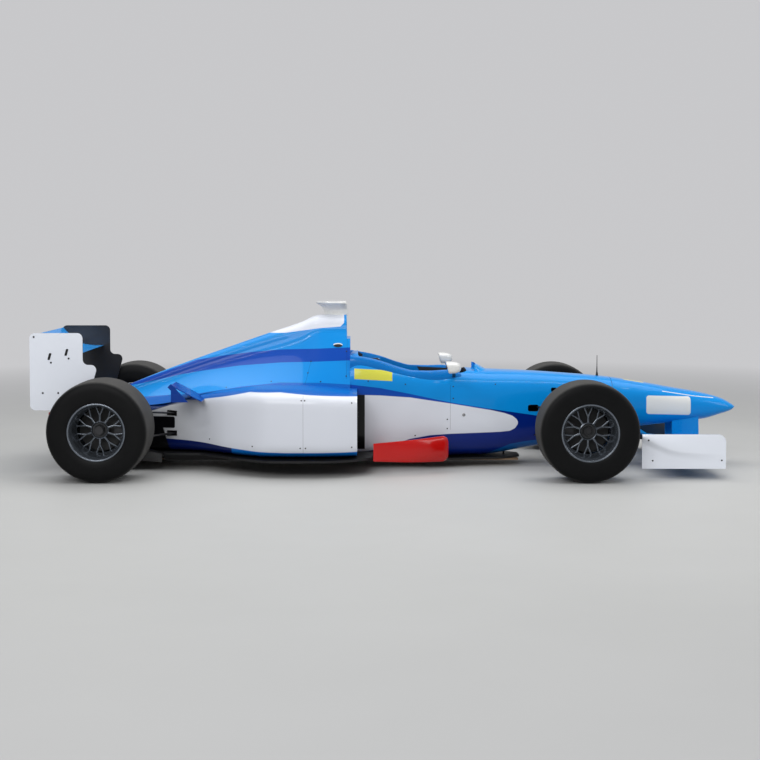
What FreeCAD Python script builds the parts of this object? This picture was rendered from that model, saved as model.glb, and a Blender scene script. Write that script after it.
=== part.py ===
import FreeCAD, Part
import math
import os

Vector = FreeCAD.Vector

# An open wheel single-seater racing car, in millimetres.
# X points forwards, Y to the car's left and Z up. The origin is on the ground, below the middle of the car.

# Driving dimensions
wheelbase = 3080.0
front_overhang = 1127.0
rear_overhang = 500.0
overall_width = 1800.0
front_tyre_radius = 317.0
front_tyre_width = 300.0
rear_tyre_radius = 321.0
rear_tyre_width = 380.0
tub_half_width = 290.0
scuttle_height = 650.0
body_half_width = 700.0
sidepod_height = 560.0
cover_height = 1022.0
ride_height = 40.0

# Places along the car that follow from them
overall_length = wheelbase + front_overhang + rear_overhang
front_axle_x = overall_length / 2 - front_overhang
rear_axle_x = front_axle_x - wheelbase
nose_tip_x = front_axle_x + front_overhang
tail_x = rear_axle_x - rear_overhang
front_wheel_y = (overall_width - front_tyre_width) / 2
rear_wheel_y = (overall_width - rear_tyre_width) / 2

# Common gaps and walls
overrun = 20.0
body_wall = 9.0
tub_wall = 30.0
seat_gap = 0.3
pin_gap = 0.08
section_points = 18
row_steps = 2
headroom = 1000.0


def behind(share):
    """A place behind the front axle, as a share of the wheelbase."""
    return front_axle_x - share * wheelbase


def ahead(share):
    """A place ahead of the front axle, as a share of the front overhang."""
    return front_axle_x + share * front_overhang


def mirrored(shape):
    """The same shape on the car's other side."""
    return shape.mirror(Vector(0, 0, 0), Vector(0, 1, 0))


def both_sides(shape):
    """A shape and its mirror image as one compound of solids."""
    return Part.makeCompound(shape.Solids + mirrored(shape).Solids)


def box(x_low, x_high, y_low, y_high, z_low, z_high):
    corner = Vector(x_low, y_low, z_low)
    return Part.makeBox(x_high - x_low, y_high - y_low, z_high - z_low, corner)


def cylinder(radius, start, end):
    return Part.makeCylinder(radius, (end - start).Length, start, end - start)


def outline_wire(points, radii):
    """A closed wire through the points, each corner rounded by its own radius."""
    count = len(points)
    starts = []
    ends = []
    mids = []
    for index in range(count):
        corner = points[index]
        back = (points[index - 1] - corner).normalize()
        forth = (points[(index + 1) % count] - corner).normalize()
        radius = radii[index]
        if radius <= 0:
            starts.append(corner)
            ends.append(corner)
            mids.append(None)
            continue
        half_turn = back.getAngle(forth) / 2
        reach = radius / math.tan(half_turn)
        bisector = (back + forth).normalize()
        starts.append(corner + back * reach)
        ends.append(corner + forth * reach)
        mids.append(corner + bisector * (radius / math.sin(half_turn) - radius))
    edges = []
    for index in range(count):
        if mids[index] is not None:
            edges.append(Part.Arc(starts[index], mids[index], ends[index]).toShape())
        following = (index + 1) % count
        if (starts[following] - ends[index]).Length > pin_gap:
            edges.append(Part.LineSegment(ends[index], starts[following]).toShape())
    return Part.Wire(edges)


def plate(points, radii, thickness):
    """A flat plate: a rounded outline drawn out by its thickness."""
    return Part.Face(outline_wire(points, radii)).extrude(thickness)


def no_corners(points):
    return [0] * len(points)


def plan_plate(points, radius, low, high):
    """A plate seen from above: points are (x, y), and every corner has the same radius."""
    corners = [Vector(x, y, low) for x, y in points]
    return plate(corners, [radius] * len(corners), Vector(0, 0, high - low))


def side_plate(points, radii, inner, outer):
    """A plate seen from the side: points are (x, z)."""
    corners = [Vector(x, inner, z) for x, z in points]
    return plate(corners, radii, Vector(0, outer - inner, 0))


def rounded_power(value, squareness):
    return math.copysign(abs(value) ** (2 / squareness), value)


def body_ring(x, half_width, top, bottom, waist, upper_squareness, lower_squareness):
    """The points of one cross-section: a superellipse above the waist and another below it."""
    ring = []
    for index in range(section_points):
        angle = 2 * math.pi * (index + 0.5) / section_points
        squareness = upper_squareness if math.sin(angle) > 0 else lower_squareness
        reach = top - waist if math.sin(angle) > 0 else waist - bottom
        y = half_width * rounded_power(math.cos(angle), squareness)
        z = waist + reach * rounded_power(math.sin(angle), squareness)
        ring.append(Vector(x, y, z))
    return ring


def gentle_slope(before, after):
    """The slope at a row between two slopes: none at a peak, else nearer to the smaller one."""
    if before * after <= 0:
        return 0
    return 2 * before * after / (before + after)


def smoothed(rows, steps):
    """More rows between the given ones, on smooth curves that never overshoot them."""
    slopes = []
    for low, high in zip(rows, rows[1:]):
        slopes.append([(b - a) / (high[0] - low[0]) for a, b in zip(low, high)])
    tangents = [slopes[0]]
    for before, after in zip(slopes, slopes[1:]):
        tangents.append([gentle_slope(a, b) for a, b in zip(before, after)])
    tangents.append(slopes[-1])
    dense = []
    for index in range(len(rows) - 1):
        span = rows[index + 1][0] - rows[index][0]
        for step in range(steps):
            t = step / steps
            weights = (2 * t**3 - 3 * t**2 + 1, 3 * t**2 - 2 * t**3, t**3 - 2 * t**2 + t, t**3 - t**2)
            values = zip(rows[index], rows[index + 1], tangents[index], tangents[index + 1])
            dense.append([a * weights[0] + b * weights[1] + span * (c * weights[2] + d * weights[3])
                          for a, b, c, d in values])
    dense.append(list(rows[-1]))
    return dense


def polygon_face(points):
    return Part.Face(Part.makePolygon(list(points) + [points[0]]))


def facets(near, far, index):
    """The two flat triangles between neighbouring points of two rings, alike on both sides of the car."""
    after = (index + 1) % len(near)
    corners = [near[index], near[after], far[after], far[index]]
    if near[index].y + near[after].y > 0:
        corners = corners[1:] + corners[:1]
    return [polygon_face(corners[:3]), polygon_face([corners[2], corners[3], corners[0]])]


def skinned(rings):
    """A closed solid skinned over its cross-sections with flat facets."""
    faces = [polygon_face(rings[0]), polygon_face(rings[-1])]
    for near, far in zip(rings, rings[1:]):
        for index in range(len(near)):
            faces += facets(near, far, index)
    solid = Part.makeSolid(Part.makeShell(faces))
    if solid.Volume < 0:
        solid.reverse()
    return solid


def flat_tube(start, end, chord, thickness):
    """A suspension leg: a flattened six-sided section drawn from one end to the other."""
    along = (end - start).normalize()
    chordwise = Vector(1, 0, 0) - along * along.x
    chordwise.normalize()
    upright = along.cross(chordwise)
    nose_share = 0.5
    flank_share = 0.22
    ring = []
    for across, up in ((nose_share, 0), (flank_share, nose_share), (-flank_share, nose_share),
                       (-nose_share, 0), (-flank_share, -nose_share), (flank_share, -nose_share)):
        ring.append(start + chordwise * (across * chord) + upright * (up * thickness))
    return polygon_face(ring).extrude(end - start)


def largest(shape):
    """The largest solid of a shape, without the offcuts."""
    return max(shape.Solids, key=lambda solid: solid.Volume)


def turned(profile, centre, sweep=360):
    """A profile turned about the wheel's axle: its points are (offset along Y, radius)."""
    ring = [Vector(centre.x, centre.y + across, centre.z + radius) for across, radius in profile]
    return polygon_face(ring).revolve(centre, Vector(0, 1, 0), sweep)


# The nose and the tub: rows of shares, front to back.
# place, half width of tub_half_width, top, bottom and waist of scuttle_height, upper and lower squareness
nose_shares = (
    (1.000, 0.13, 0.612, 0.588, 0.600, 2.0, 2.0),
    (0.982, 0.22, 0.634, 0.562, 0.598, 2.1, 2.1),
    (0.923, 0.33, 0.669, 0.528, 0.598, 2.4, 2.4),
    (0.801, 0.42, 0.728, 0.469, 0.600, 2.6, 2.6),
    (0.618, 0.50, 0.802, 0.435, 0.615, 2.7, 2.8),
    (0.436, 0.55, 0.858, 0.400, 0.630, 2.8, 2.8),
    (0.200, 0.59, 0.918, 0.331, 0.640, 3.0, 2.8),
)
tub_shares = (
    (0.019, 0.63, 0.954, 0.238, 0.640, 3.2, 2.6),
    (0.097, 0.70, 0.977, 0.172, 0.600, 3.4, 2.6),
    (0.197, 0.83, 0.995, 0.100, 0.560, 3.8, 2.8),
    (0.281, 0.92, 1.020, 0.096, 0.540, 4.2, 3.2),
    (0.350, 0.98, 1.045, 0.096, 0.540, 4.6, 3.6),
    (0.422, 1.00, 1.110, 0.096, 0.540, 5.0, 4.0),
    (0.472, 1.00, 1.180, 0.096, 0.540, 4.6, 4.0),
    (0.510, 0.99, 1.100, 0.096, 0.540, 4.0, 4.0),
    (0.590, 0.96, 1.000, 0.096, 0.540, 3.6, 4.0),
)
nose_joint_share = 0.24
cavity_rear_share = 0.470
opening_front_share = 0.232
opening_widths_share = (0.60, 0.80, 0.80)
opening_corner = 60.0
opening_floor_share = 0.75


def hull_rows(inset):
    """The rows of the nose and tub in millimetres, each one inset from the outside."""
    places = [(ahead(row[0]), row) for row in nose_shares] + [(behind(row[0]), row) for row in tub_shares]
    return [(x, row[1] * tub_half_width - inset, row[2] * scuttle_height - inset,
             row[3] * scuttle_height + inset, row[4] * scuttle_height, row[5], row[6]) for x, row in places]


def hull_envelope():
    """The outside of the nose and the tub in one closed form."""
    return skinned([body_ring(*row) for row in smoothed(hull_rows(0), row_steps)])


def hull_inside():
    """The hollow of the tub, one wall inside its outside."""
    rows = hull_rows(tub_wall)[len(nose_shares) - 1:]
    return skinned([body_ring(*row) for row in smoothed(rows, 1)])


def big_box(x_low, x_high):
    """Everything between two stations, wider and taller than the car."""
    return box(x_low, x_high, -overall_width, overall_width, -overrun, cover_height + headroom)


def make_nose_cone(hull):
    return hull.common(big_box(ahead(nose_joint_share), nose_tip_x + overrun))


def cockpit_opening():
    front = behind(opening_front_share)
    rear = behind(cavity_rear_share)
    middle = (front + rear) / 2
    half_front, half_middle, half_rear = [share * tub_half_width for share in opening_widths_share]
    points = [(front, -half_front), (front, half_front), (middle, half_middle),
              (rear, half_rear), (rear, -half_rear), (middle, -half_middle)]
    return plan_plate(points, opening_corner, scuttle_height * opening_floor_share, cover_height)


rack_ahead = 90.0
rack_height = 352.0
rack_radius = 9.0
rack_room = 90.0
wheel_share = 0.275
wheel_height = 560.0
column_radius = 14.0
column_length = 260.0
column_lean = 12.0
bulkhead_share = 0.225
bulkhead_thickness = 20.0


def column_shape(radius):
    """A bar of any radius on the steering column's leaning axis."""
    x = behind(wheel_share)
    bar = cylinder(radius, Vector(x, 0, wheel_height), Vector(x + column_length, 0, wheel_height))
    bar.rotate(Vector(x, 0, wheel_height), Vector(0, 1, 0), column_lean)
    return bar


def make_monocoque(hull):
    """The tub: a hollow shell with the cockpit opening, the dash bulkhead and the guides of the rack."""
    tub = hull.common(big_box(behind(tub_shares[-1][0]) - overrun, ahead(nose_joint_share)))
    cavity_front = front_axle_x + rack_ahead + rack_room
    inside = hull_inside().common(big_box(behind(cavity_rear_share), cavity_front))
    tub = tub.cut(inside).cut(cockpit_opening())
    dash = big_box(behind(bulkhead_share), behind(bulkhead_share) + bulkhead_thickness)
    tub = tub.fuse(inside.common(dash)).cut(column_shape(column_radius + pin_gap))
    rack_x = front_axle_x + rack_ahead
    reach = Vector(rack_x, tub_half_width, rack_height)
    other = Vector(rack_x, -tub_half_width, rack_height)
    return tub.cut(cylinder(rack_radius + pin_gap, other, reach)).removeSplitter()


# The engine cover: rows of shares, front to back.
# place, top of cover_height, spine of cover_spine, foot width of tub_half_width,
# foot height of sidepod_height, power of the flank's flare
cover_shares = (
    (0.487, 1.000, 1.00, 1.06, 0.960, 0.8),
    (0.520, 1.001, 0.97, 1.07, 0.965, 0.9),
    (0.555, 0.997, 0.90, 1.08, 0.975, 1.0),
    (0.600, 0.943, 0.78, 1.09, 0.990, 1.3),
    (0.666, 0.877, 0.62, 1.08, 0.985, 1.6),
    (0.777, 0.760, 0.50, 1.00, 0.930, 1.8),
    (0.889, 0.638, 0.42, 0.87, 0.780, 1.8),
    (0.978, 0.532, 0.36, 0.60, 0.720, 1.8),
)
cover_spine = 105.0
spine_turns = 3
flank_steps = 4
cover_hollow_share = 0.52


def cover_rows(inset):
    """The rows of the cover in millimetres. The inside, with an inset, also runs out below the feet."""
    rows = []
    for place, top, spine, foot_width, foot, power in cover_shares:
        rows.append((behind(place), top * cover_height - inset, spine * cover_spine - inset,
                     foot_width * tub_half_width - inset, foot * sidepod_height - 2 * inset, power))
    return rows


def cover_ring(x, top, spine, foot_width, foot, power):
    """One cross-section of the engine cover: a round spine that flares out to its feet."""
    half = []
    for step in range(1, spine_turns + 1):
        turn = math.pi / 2 * step / spine_turns
        half.append((spine * math.sin(turn), top - spine * (1 - math.cos(turn))))
    for step in range(1, flank_steps + 1):
        share = step / flank_steps
        width = spine + (foot_width - spine) * share**power
        half.append((width, top - spine - (top - spine - foot) * share))
    ring = [Vector(x, -y, z) for y, z in reversed(half)]
    ring.append(Vector(x, 0, top))
    return ring + [Vector(x, y, z) for y, z in half]


def cover_envelope():
    return skinned([cover_ring(*row) for row in smoothed(cover_rows(0), row_steps)])


intake_radius = 68.0
intake_depth_share = 0.06


def make_engine_cover(hull):
    """The engine cover: a shell open below, with the air intake above the driver's head."""
    outside = cover_envelope().cut(hull)
    inside = skinned([cover_ring(*row) for row in smoothed(cover_rows(body_wall), 1)])
    inside = inside.common(big_box(behind(cover_shares[-1][0]) - overrun, behind(cover_hollow_share)))
    shell = outside.cut(inside)
    mouth_height = cover_height - body_wall - intake_radius
    mouth_start = Vector(behind(cover_shares[0][0]) + overrun, 0, mouth_height)
    mouth_end = mouth_start - Vector(intake_depth_share * wheelbase, 0, 0)
    return shell.cut(cylinder(intake_radius, mouth_start, mouth_end))


# The sidepods: place, half width of body_half_width, top of sidepod_height
sidepod_shares = (
    (0.468, 0.900, 0.960),
    (0.505, 0.960, 0.975),
    (0.560, 1.000, 1.000),
    (0.610, 1.000, 1.010),
    (0.655, 0.985, 1.010),
    (0.727, 0.800, 0.975),
    (0.808, 0.500, 0.900),
    (0.888, 0.380, 0.790),
    (0.935, 0.345, 0.765),
)
floor_thickness = 14.0
plank_thickness = 10.0
step_height = 50.0
step_bottom = ride_height + plank_thickness + step_height
pod_bottom = step_bottom + floor_thickness
pod_squareness = 7.0
pod_waist_share = 0.5
bay_half_width = 240.0
tail_half_width = 170.0
tail_room = 20.0
slot_clearance = 12.0
inlet_share = 0.472
duct_floor = 190.0


def pod_rows(inset):
    rows = []
    for place, width, height in sidepod_shares:
        top = height * sidepod_height - inset
        waist = pod_bottom + pod_waist_share * (top - pod_bottom)
        rows.append((behind(place), width * body_half_width - inset, top, pod_bottom + inset, waist,
                     pod_squareness, pod_squareness))
    return rows


def pod_form(inset):
    """Both sidepods as one closed form across the car."""
    return skinned([body_ring(*row) for row in smoothed(pod_rows(inset), row_steps)])


def make_sidepod(hull, cover, inside):
    """The left sidepod: a thin skin open at its inlet and inwards, with slots for the rear suspension."""
    front = behind(inlet_share)
    rear = behind(sidepod_shares[-1][0])
    engine_rear = behind(tub_shares[-1][0]) - engine_length - tail_room
    skin = pod_form(0).cut(inside).cut(hull).cut(cover)
    sides = box(rear, front, bay_half_width, overall_width, 0, cover_height)
    tail = box(rear, engine_rear, tail_half_width, overall_width, 0, cover_height)
    pod = skin.common(sides.fuse(tail)).cut(diffuser_side(seat_gap, ride_height, overall_width))
    slot_chord = leg_chord + 2 * slot_clearance
    slot_height = leg_thickness + 2 * slot_clearance
    for outer, mount in rear_front_legs():
        pod = pod.cut(flat_tube(outer, mount, slot_chord, slot_height))
    return largest(pod)


radiator_share = 0.56
radiator_thickness = 60.0
radiator_lean = 120.0


def make_radiators(pod_inside):
    """One core in each sidepod, leaning across the duct."""
    x = behind(radiator_share)
    inner = tub_half_width + tub_wall
    outer = body_half_width - 3 * body_wall
    low = pod_bottom + body_wall
    high = sidepod_height - 3 * body_wall
    points = [Vector(x, inner, low), Vector(x - radiator_lean, outer, low)]
    points += [point - Vector(radiator_thickness, 0, 0) for point in reversed(points)]
    core = plate(points, no_corners(points), Vector(0, 0, high - low))
    return both_sides(core.common(pod_inside))


# The floor: edge points as (place share, half width share of body_half_width)
floor_edge_shares = (
    (0.432, 0.40), (0.442, 0.76), (0.474, 0.90), (0.530, 1.00),
    (0.655, 1.00), (0.727, 0.82), (0.808, 0.50), (0.893, 0.48),
)
splitter_shares = ((0.112, 0.10), (0.150, 0.22), (0.300, 0.33), (0.893, 0.33))
splitter_thickness = 12.0
floor_corner = 30.0
stay_share = 0.145
stay_radius = 6.0


def edge_plan(shares):
    half = [(behind(place), width * body_half_width) for place, width in shares]
    return half + [(x, -y) for x, y in reversed(half)]


def make_floor(hull):
    """The stepped floor: side plates, the lower centre plate that runs out to the splitter, and its step."""
    bottom = ride_height + plank_thickness
    centre = plan_plate(edge_plan(splitter_shares), floor_corner, bottom, bottom + splitter_thickness)
    sides = plan_plate(edge_plan(floor_edge_shares), floor_corner, step_bottom, pod_bottom)
    step_half = splitter_shares[-1][1] * body_half_width
    step = box(behind(floor_edge_shares[-1][0]), behind(floor_edge_shares[0][0]),
               -step_half, step_half, bottom, pod_bottom)
    stay_x = behind(stay_share)
    stay = cylinder(stay_radius, Vector(stay_x, 0, bottom), Vector(stay_x, 0, scuttle_height))
    whole = centre.fuse(step).fuse(sides).fuse(stay).cut(hull).removeSplitter()
    return largest(whole)


plank_half_width = 150.0
plank_front_share = 0.118


def make_plank():
    return box(rear_axle_x, behind(plank_front_share), -plank_half_width, plank_half_width,
               ride_height, ride_height + plank_thickness)


diffuser_share = 0.893
diffuser_end = 330.0
diffuser_rise = 125.0
diffuser_half_width = 330.0
diffuser_plate = 8.0
diffuser_fences = 4


def diffuser_side(gap, below, half_width):
    """The diffuser's roof across the car: its plate, with a gap above it and more below it."""
    front = behind(diffuser_share)
    rear = rear_axle_x - diffuser_end
    low = step_bottom
    high = low + diffuser_rise
    lift = diffuser_plate + gap
    points = [(front, low - below), (rear, high - below), (rear, high + lift), (front, low + lift)]
    return side_plate(points, no_corners(points), -half_width, half_width)


def make_diffuser():
    """The diffuser: a rising roof with upright fences below it."""
    front = behind(diffuser_share)
    rear = rear_axle_x - diffuser_end
    low = step_bottom
    high = low + diffuser_rise
    fences = []
    spacing = (2 * diffuser_half_width - diffuser_plate) / (diffuser_fences - 1)
    for index in range(diffuser_fences):
        y = -diffuser_half_width + index * spacing
        points = [(front, ride_height + plank_thickness), (rear, low), (rear, high), (front, low)]
        fences.append(side_plate(points, no_corners(points), y, y + diffuser_plate))
    return diffuser_side(0, 0, diffuser_half_width).multiFuse(fences).removeSplitter()


engine_length = 600.0
engine_half_width = 220.0
engine_bottom = pod_bottom
engine_height = 350.0


def make_engine():
    front = behind(tub_shares[-1][0]) - seat_gap
    return box(front - engine_length, front, -engine_half_width, engine_half_width,
               engine_bottom + seat_gap, engine_bottom + engine_height)


gearbox_front_half = 150.0
gearbox_rear_half = 90.0
gearbox_front_top = 400.0
gearbox_rear_top = 370.0
gearbox_rear_bottom = 240.0
gearbox_behind_axle = 90.0
gearbox_bottom = 124.0


def rectangle(x, half_width, low, high):
    return [Vector(x, -half_width, low), Vector(x, half_width, low),
            Vector(x, half_width, high), Vector(x, -half_width, high)]


def make_gearbox():
    """The gearbox: a tapering case from the engine to behind the rear axle, bored for the driveshafts."""
    front = behind(tub_shares[-1][0]) - engine_length - 2 * seat_gap
    rear = rear_axle_x - gearbox_behind_axle
    front_end = rectangle(front, gearbox_front_half, gearbox_bottom, gearbox_front_top)
    rear_end = rectangle(rear, gearbox_rear_half, gearbox_rear_bottom, gearbox_rear_top)
    case = skinned([front_end, rear_end]).removeSplitter()
    axle = Vector(rear_axle_x, 0, rear_tyre_radius)
    return case.cut(cylinder(shaft_radius + pin_gap, axle - Vector(0, tub_half_width, 0),
                             axle + Vector(0, tub_half_width, 0)))


crash_tip_half = 45.0
crash_tip_low = 270.0
crash_tip_high = 350.0
tow_eye_radius = 12.0
tow_eye_inset = 36.0
light_depth = 24.0
light_recess = 16.0
wing_post_y = 30.0
wing_post_thickness = 10.0
wing_post_inset = 40.0


def make_crash_structure(planes):
    """The rear crash box, with the posts of the beam plane and the eye for towing and jacking."""
    front = rear_axle_x - gearbox_behind_axle - seat_gap
    rear = tail_x + light_depth + light_recess
    case = skinned([rectangle(front, gearbox_rear_half, gearbox_rear_bottom, gearbox_rear_top),
                    rectangle(rear, crash_tip_half, crash_tip_low, crash_tip_high)]).removeSplitter()
    eye_x = rear + tow_eye_inset
    eye_z = (crash_tip_low + crash_tip_high) / 2
    eye = cylinder(tow_eye_radius, Vector(eye_x, -overrun - gearbox_rear_half, eye_z),
                   Vector(eye_x, gearbox_rear_half + overrun, eye_z))
    post = box(tail_x + beam_trail + wing_post_inset, tail_x + beam_lead - wing_post_inset,
               wing_post_y, wing_post_y + wing_post_thickness, eye_z, beam_low)
    posts = post.fuse(mirrored(post)).cut(planes)
    return case.cut(eye).fuse(posts).removeSplitter()


def make_rain_light():
    rear = tail_x + light_recess
    front = rear + light_depth - seat_gap
    return box(rear, front, -crash_tip_half, crash_tip_half, crash_tip_low, crash_tip_high)


# Front wing
front_wing_half = 692.0
front_wing_chord = 270.0
front_wing_lead_share = 0.79
front_wing_height = 105.0
front_wing_depth = 16.0
flap_chord = 150.0
flap_lift = 70.0
endplate_thickness = 8.0


def blade(lead, trail, thickness, sag, half_span_low, half_span_high):
    """A wing plane: two arcs between its leading and trailing edges, drawn out along Y."""
    start = Vector(lead[0], half_span_low, lead[1])
    end = Vector(trail[0], half_span_low, trail[1])
    middle = (start + end) / 2
    down = Vector(0, 0, -1)
    upper = Part.Arc(start, middle + down * (sag - thickness / 2), end).toShape()
    lower = Part.Arc(end, middle + down * (sag + thickness / 2), start).toShape()
    return Part.Face(Part.Wire([upper, lower])).extrude(Vector(0, half_span_high - half_span_low, 0))


main_sag = 18.0
flap_sag = 16.0
flap_overlap = 12.0
flap_gap = 22.0
flap_inner = 130.0


def make_front_wing_planes():
    """The main plane across the whole span, with a lifted flap behind it on each side."""
    lead = ahead(front_wing_lead_share)
    trail = lead - front_wing_chord
    trail_height = front_wing_height + main_sag
    main = blade((lead, front_wing_height), (trail, trail_height), front_wing_depth, main_sag,
                 -front_wing_half, front_wing_half)
    flap_start = (trail + flap_overlap, trail_height + flap_gap)
    flap_end = (trail + flap_overlap - flap_chord, trail_height + flap_gap + flap_lift)
    flap = blade(flap_start, flap_end, front_wing_depth / 2, flap_sag, flap_inner, front_wing_half)
    return Part.makeCompound([main] + both_sides(flap).Solids)


# Front endplate, seen from the side: (place ahead of the axle, height)
front_endplate_rear = 360.0
front_endplate_front = 895.0
front_endplate_low = 66.0
front_endplate_high = 286.0
front_endplate_corner = 60.0
front_endplate_small = 12.0


def make_front_endplates():
    rear = front_axle_x + front_endplate_rear
    front = front_axle_x + front_endplate_front
    points = [(rear, front_endplate_low), (front, front_endplate_low), (front, front_endplate_high),
              (rear, front_endplate_high)]
    radii = [front_endplate_small, front_endplate_small, front_endplate_corner, front_endplate_small]
    left = side_plate(points, radii, front_wing_half, front_wing_half + endplate_thickness)
    return both_sides(left)


pylon_y = 95.0
pylon_thickness = 14.0
pylon_front = 870.0
pylon_rear = 690.0
pylon_slant = 6.0


def make_front_pylons(hull, planes):
    """The two pylons that hang the front wing below the nose."""
    top = front_wing_height + front_endplate_high
    points = [(front_axle_x + pylon_rear, front_wing_height - main_sag),
              (front_axle_x + pylon_front, front_wing_height - main_sag),
              (front_axle_x + pylon_front - pylon_slant, top),
              (front_axle_x + pylon_rear - pylon_slant, top)]
    left = side_plate(points, no_corners(points), pylon_y, pylon_y + pylon_thickness)
    left = left.cut(hull).cut(planes)
    keep = box(front_axle_x, nose_tip_x, 0, overall_width, front_wing_height, top - overrun)
    left = left.common(keep)
    return both_sides(largest(left))


# Rear wing
wing_tyre_gap = 20.0
rear_wing_half = rear_wheel_y - rear_tyre_width / 2 - wing_tyre_gap - endplate_thickness
rear_endplate_rear = 0.0
rear_endplate_shoulder = 443.0
rear_endplate_foot = 355.0
rear_endplate_upper_front = 344.0
rear_endplate_low = 417.0
rear_endplate_shoulder_height = 713.0
rear_endplate_high = 920.0
rear_endplate_corner = 35.0


def make_rear_endplates():
    rear = tail_x + rear_endplate_rear
    points = [(rear, rear_endplate_low), (rear + rear_endplate_foot, rear_endplate_low),
              (rear + rear_endplate_shoulder, rear_endplate_shoulder_height),
              (rear + rear_endplate_upper_front, rear_endplate_shoulder_height),
              (rear + rear_endplate_upper_front, rear_endplate_high), (rear, rear_endplate_high)]
    radii = [rear_endplate_corner] * len(points)
    left = side_plate(points, radii, rear_wing_half, rear_wing_half + endplate_thickness)
    return both_sides(left)


rear_main_lead = 300.0
rear_main_trail = 110.0
rear_main_low = 777.0
rear_main_high = 800.0
rear_flap_trail = 8.0
rear_flap_low = 815.0
rear_flap_high = 905.0
rear_plane_depth = 18.0
beam_lead = 330.0
beam_trail = 150.0
beam_low = 440.0
beam_high = 470.0


def make_rear_wing_planes():
    """The upper main plane, its flap and the lower beam plane, each across the whole span."""
    main = blade((tail_x + rear_main_lead, rear_main_low), (tail_x + rear_main_trail, rear_main_high),
                 rear_plane_depth, main_sag, -rear_wing_half, rear_wing_half)
    flap_lead = tail_x + rear_main_trail + flap_overlap
    flap = blade((flap_lead, rear_flap_low), (tail_x + rear_flap_trail, rear_flap_high),
                 rear_plane_depth / 2, flap_sag, -rear_wing_half, rear_wing_half)
    beam = blade((tail_x + beam_lead, beam_low), (tail_x + beam_trail, beam_high),
                 rear_plane_depth, main_sag, -rear_wing_half, rear_wing_half)
    return Part.makeCompound([main, flap, beam])


# Wheels: centres, and the rings of tyre, rim and disc
front_centre = Vector(front_axle_x, front_wheel_y, front_tyre_radius)
rear_centre = Vector(rear_axle_x, rear_wheel_y, rear_tyre_radius)
bead_radius = 178.0
barrel_radius = 157.0
shoulder_share = 0.90
tread_width_share = 0.92
rim_width_share = 0.94


def make_tyre(centre, radius, width):
    """A slick tyre: bead, sidewall, shoulder and tread as one turned ring."""
    half = width / 2
    shoulder_radius = bead_radius + shoulder_share * (radius - bead_radius)
    side = [(half, bead_radius), (half, shoulder_radius), (tread_width_share * half, radius)]
    profile = side + [(-across, ring) for across, ring in reversed(side)]
    return turned(profile, centre)


spoke_count = 10
hub_radius = 52.0
hub_length = 60.0
nut_radius = 30.0
nut_length = 30.0
web_thickness = 14.0
window_inner = 64.0
window_outer = 146.0
window_gap = 5.0
web_overlap = 1.0
fork_share = 0.45
axle_radius = 25.0


def spoke_windows(centre, low, high):
    """The gaps between the ten forked spokes, to be cut from the wheel's web."""
    step = 2 * math.pi / spoke_count
    windows = []
    for index in range(spoke_count):
        middle = (index + 0.5) * step
        stem = index * step
        wide = step / 2 - window_gap / window_inner
        fork_radius = window_inner + fork_share * (window_outer - window_inner)
        rim_turn = step / 4 - window_gap / window_outer
        between = [(window_inner, middle - wide), (fork_radius, middle - wide),
                   (window_outer, middle - rim_turn), (window_outer, middle + rim_turn),
                   (fork_radius, middle + wide), (window_inner, middle + wide)]
        inside = [(fork_radius + 2 * window_gap, stem),
                  (window_outer, stem - rim_turn), (window_outer, stem + rim_turn)]
        for shape in (between, inside):
            points = [Vector(centre.x + radius * math.sin(turn), low, centre.z + radius * math.cos(turn))
                      for radius, turn in shape]
            windows.append(polygon_face(points).extrude(Vector(0, high - low, 0)))
    return windows


def make_rim(centre, width, recess):
    """A wheel: the barrel, a web cut into forked spokes, the hub and its nut."""
    edge = rim_width_share * width / 2
    outer = bead_radius - seat_gap
    barrel = turned([(-edge, barrel_radius), (edge, barrel_radius), (edge, outer), (-edge, outer)], centre)
    web_outer = edge - recess
    web_inner = web_outer - web_thickness
    bore = axle_radius + pin_gap
    web_edge = barrel_radius + web_overlap
    web = turned([(web_inner, bore), (web_inner, web_edge), (web_outer, web_edge), (web_outer, bore)],
                 centre)
    windows = spoke_windows(centre, centre.y + web_inner - overrun, centre.y + web_outer + overrun)
    web = web.cut(Part.makeCompound(windows))
    hub_inner = web_outer - hub_length
    hub_outer = web_outer + web_thickness
    nut_end = web_outer + nut_length
    hub = turned([(hub_inner, bore), (hub_inner, hub_radius), (hub_outer, hub_radius),
                  (hub_outer, nut_radius), (nut_end, nut_radius), (nut_end, bore)], centre)
    return barrel.fuse(web).fuse(hub).removeSplitter()


front_recess = 100.0
rear_recess = 130.0
disc_radius = 138.0
disc_thickness = 28.0


def web_face(centre, width, recess):
    """The outer face of a wheel's web, measured along Y."""
    return centre.y + rim_width_share * width / 2 - recess


def disc_face(centre, width, recess):
    """The inner face of a brake disc, measured along Y from the wheel's centre."""
    return web_face(centre, width, recess) - hub_length - seat_gap - disc_thickness - centre.y


def make_disc(centre, width, recess):
    """A brake disc on the inner end of the hub."""
    inner = disc_face(centre, width, recess)
    outer = inner + disc_thickness
    return turned([(inner, axle_radius + pin_gap), (inner, disc_radius), (outer, disc_radius),
                   (outer, axle_radius + pin_gap)], centre)


# Uprights
kingpin_inset = 100.0
kingpin_y = front_wheel_y - kingpin_inset
upright_half_thickness = 16.0
upright_half_chord = 36.0
upright_half_height = 98.0
ball_height = 112.0
eye_radius = 17.0
eye_thickness = 14.0
pin_radius = 8.0
pin_length = 26.0
arm_half_width = 16.0
arm_thickness = 14.0
rod_eye_radius = 11.0
rod_pin_radius = 6.0
running_gap = 6.0
caliper_cheek = 16.0
caliper_inner_radius = 86.0
caliper_outer_radius = 151.0
caliper_sweep = 55.0
bracket_half_height = 22.0


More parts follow.
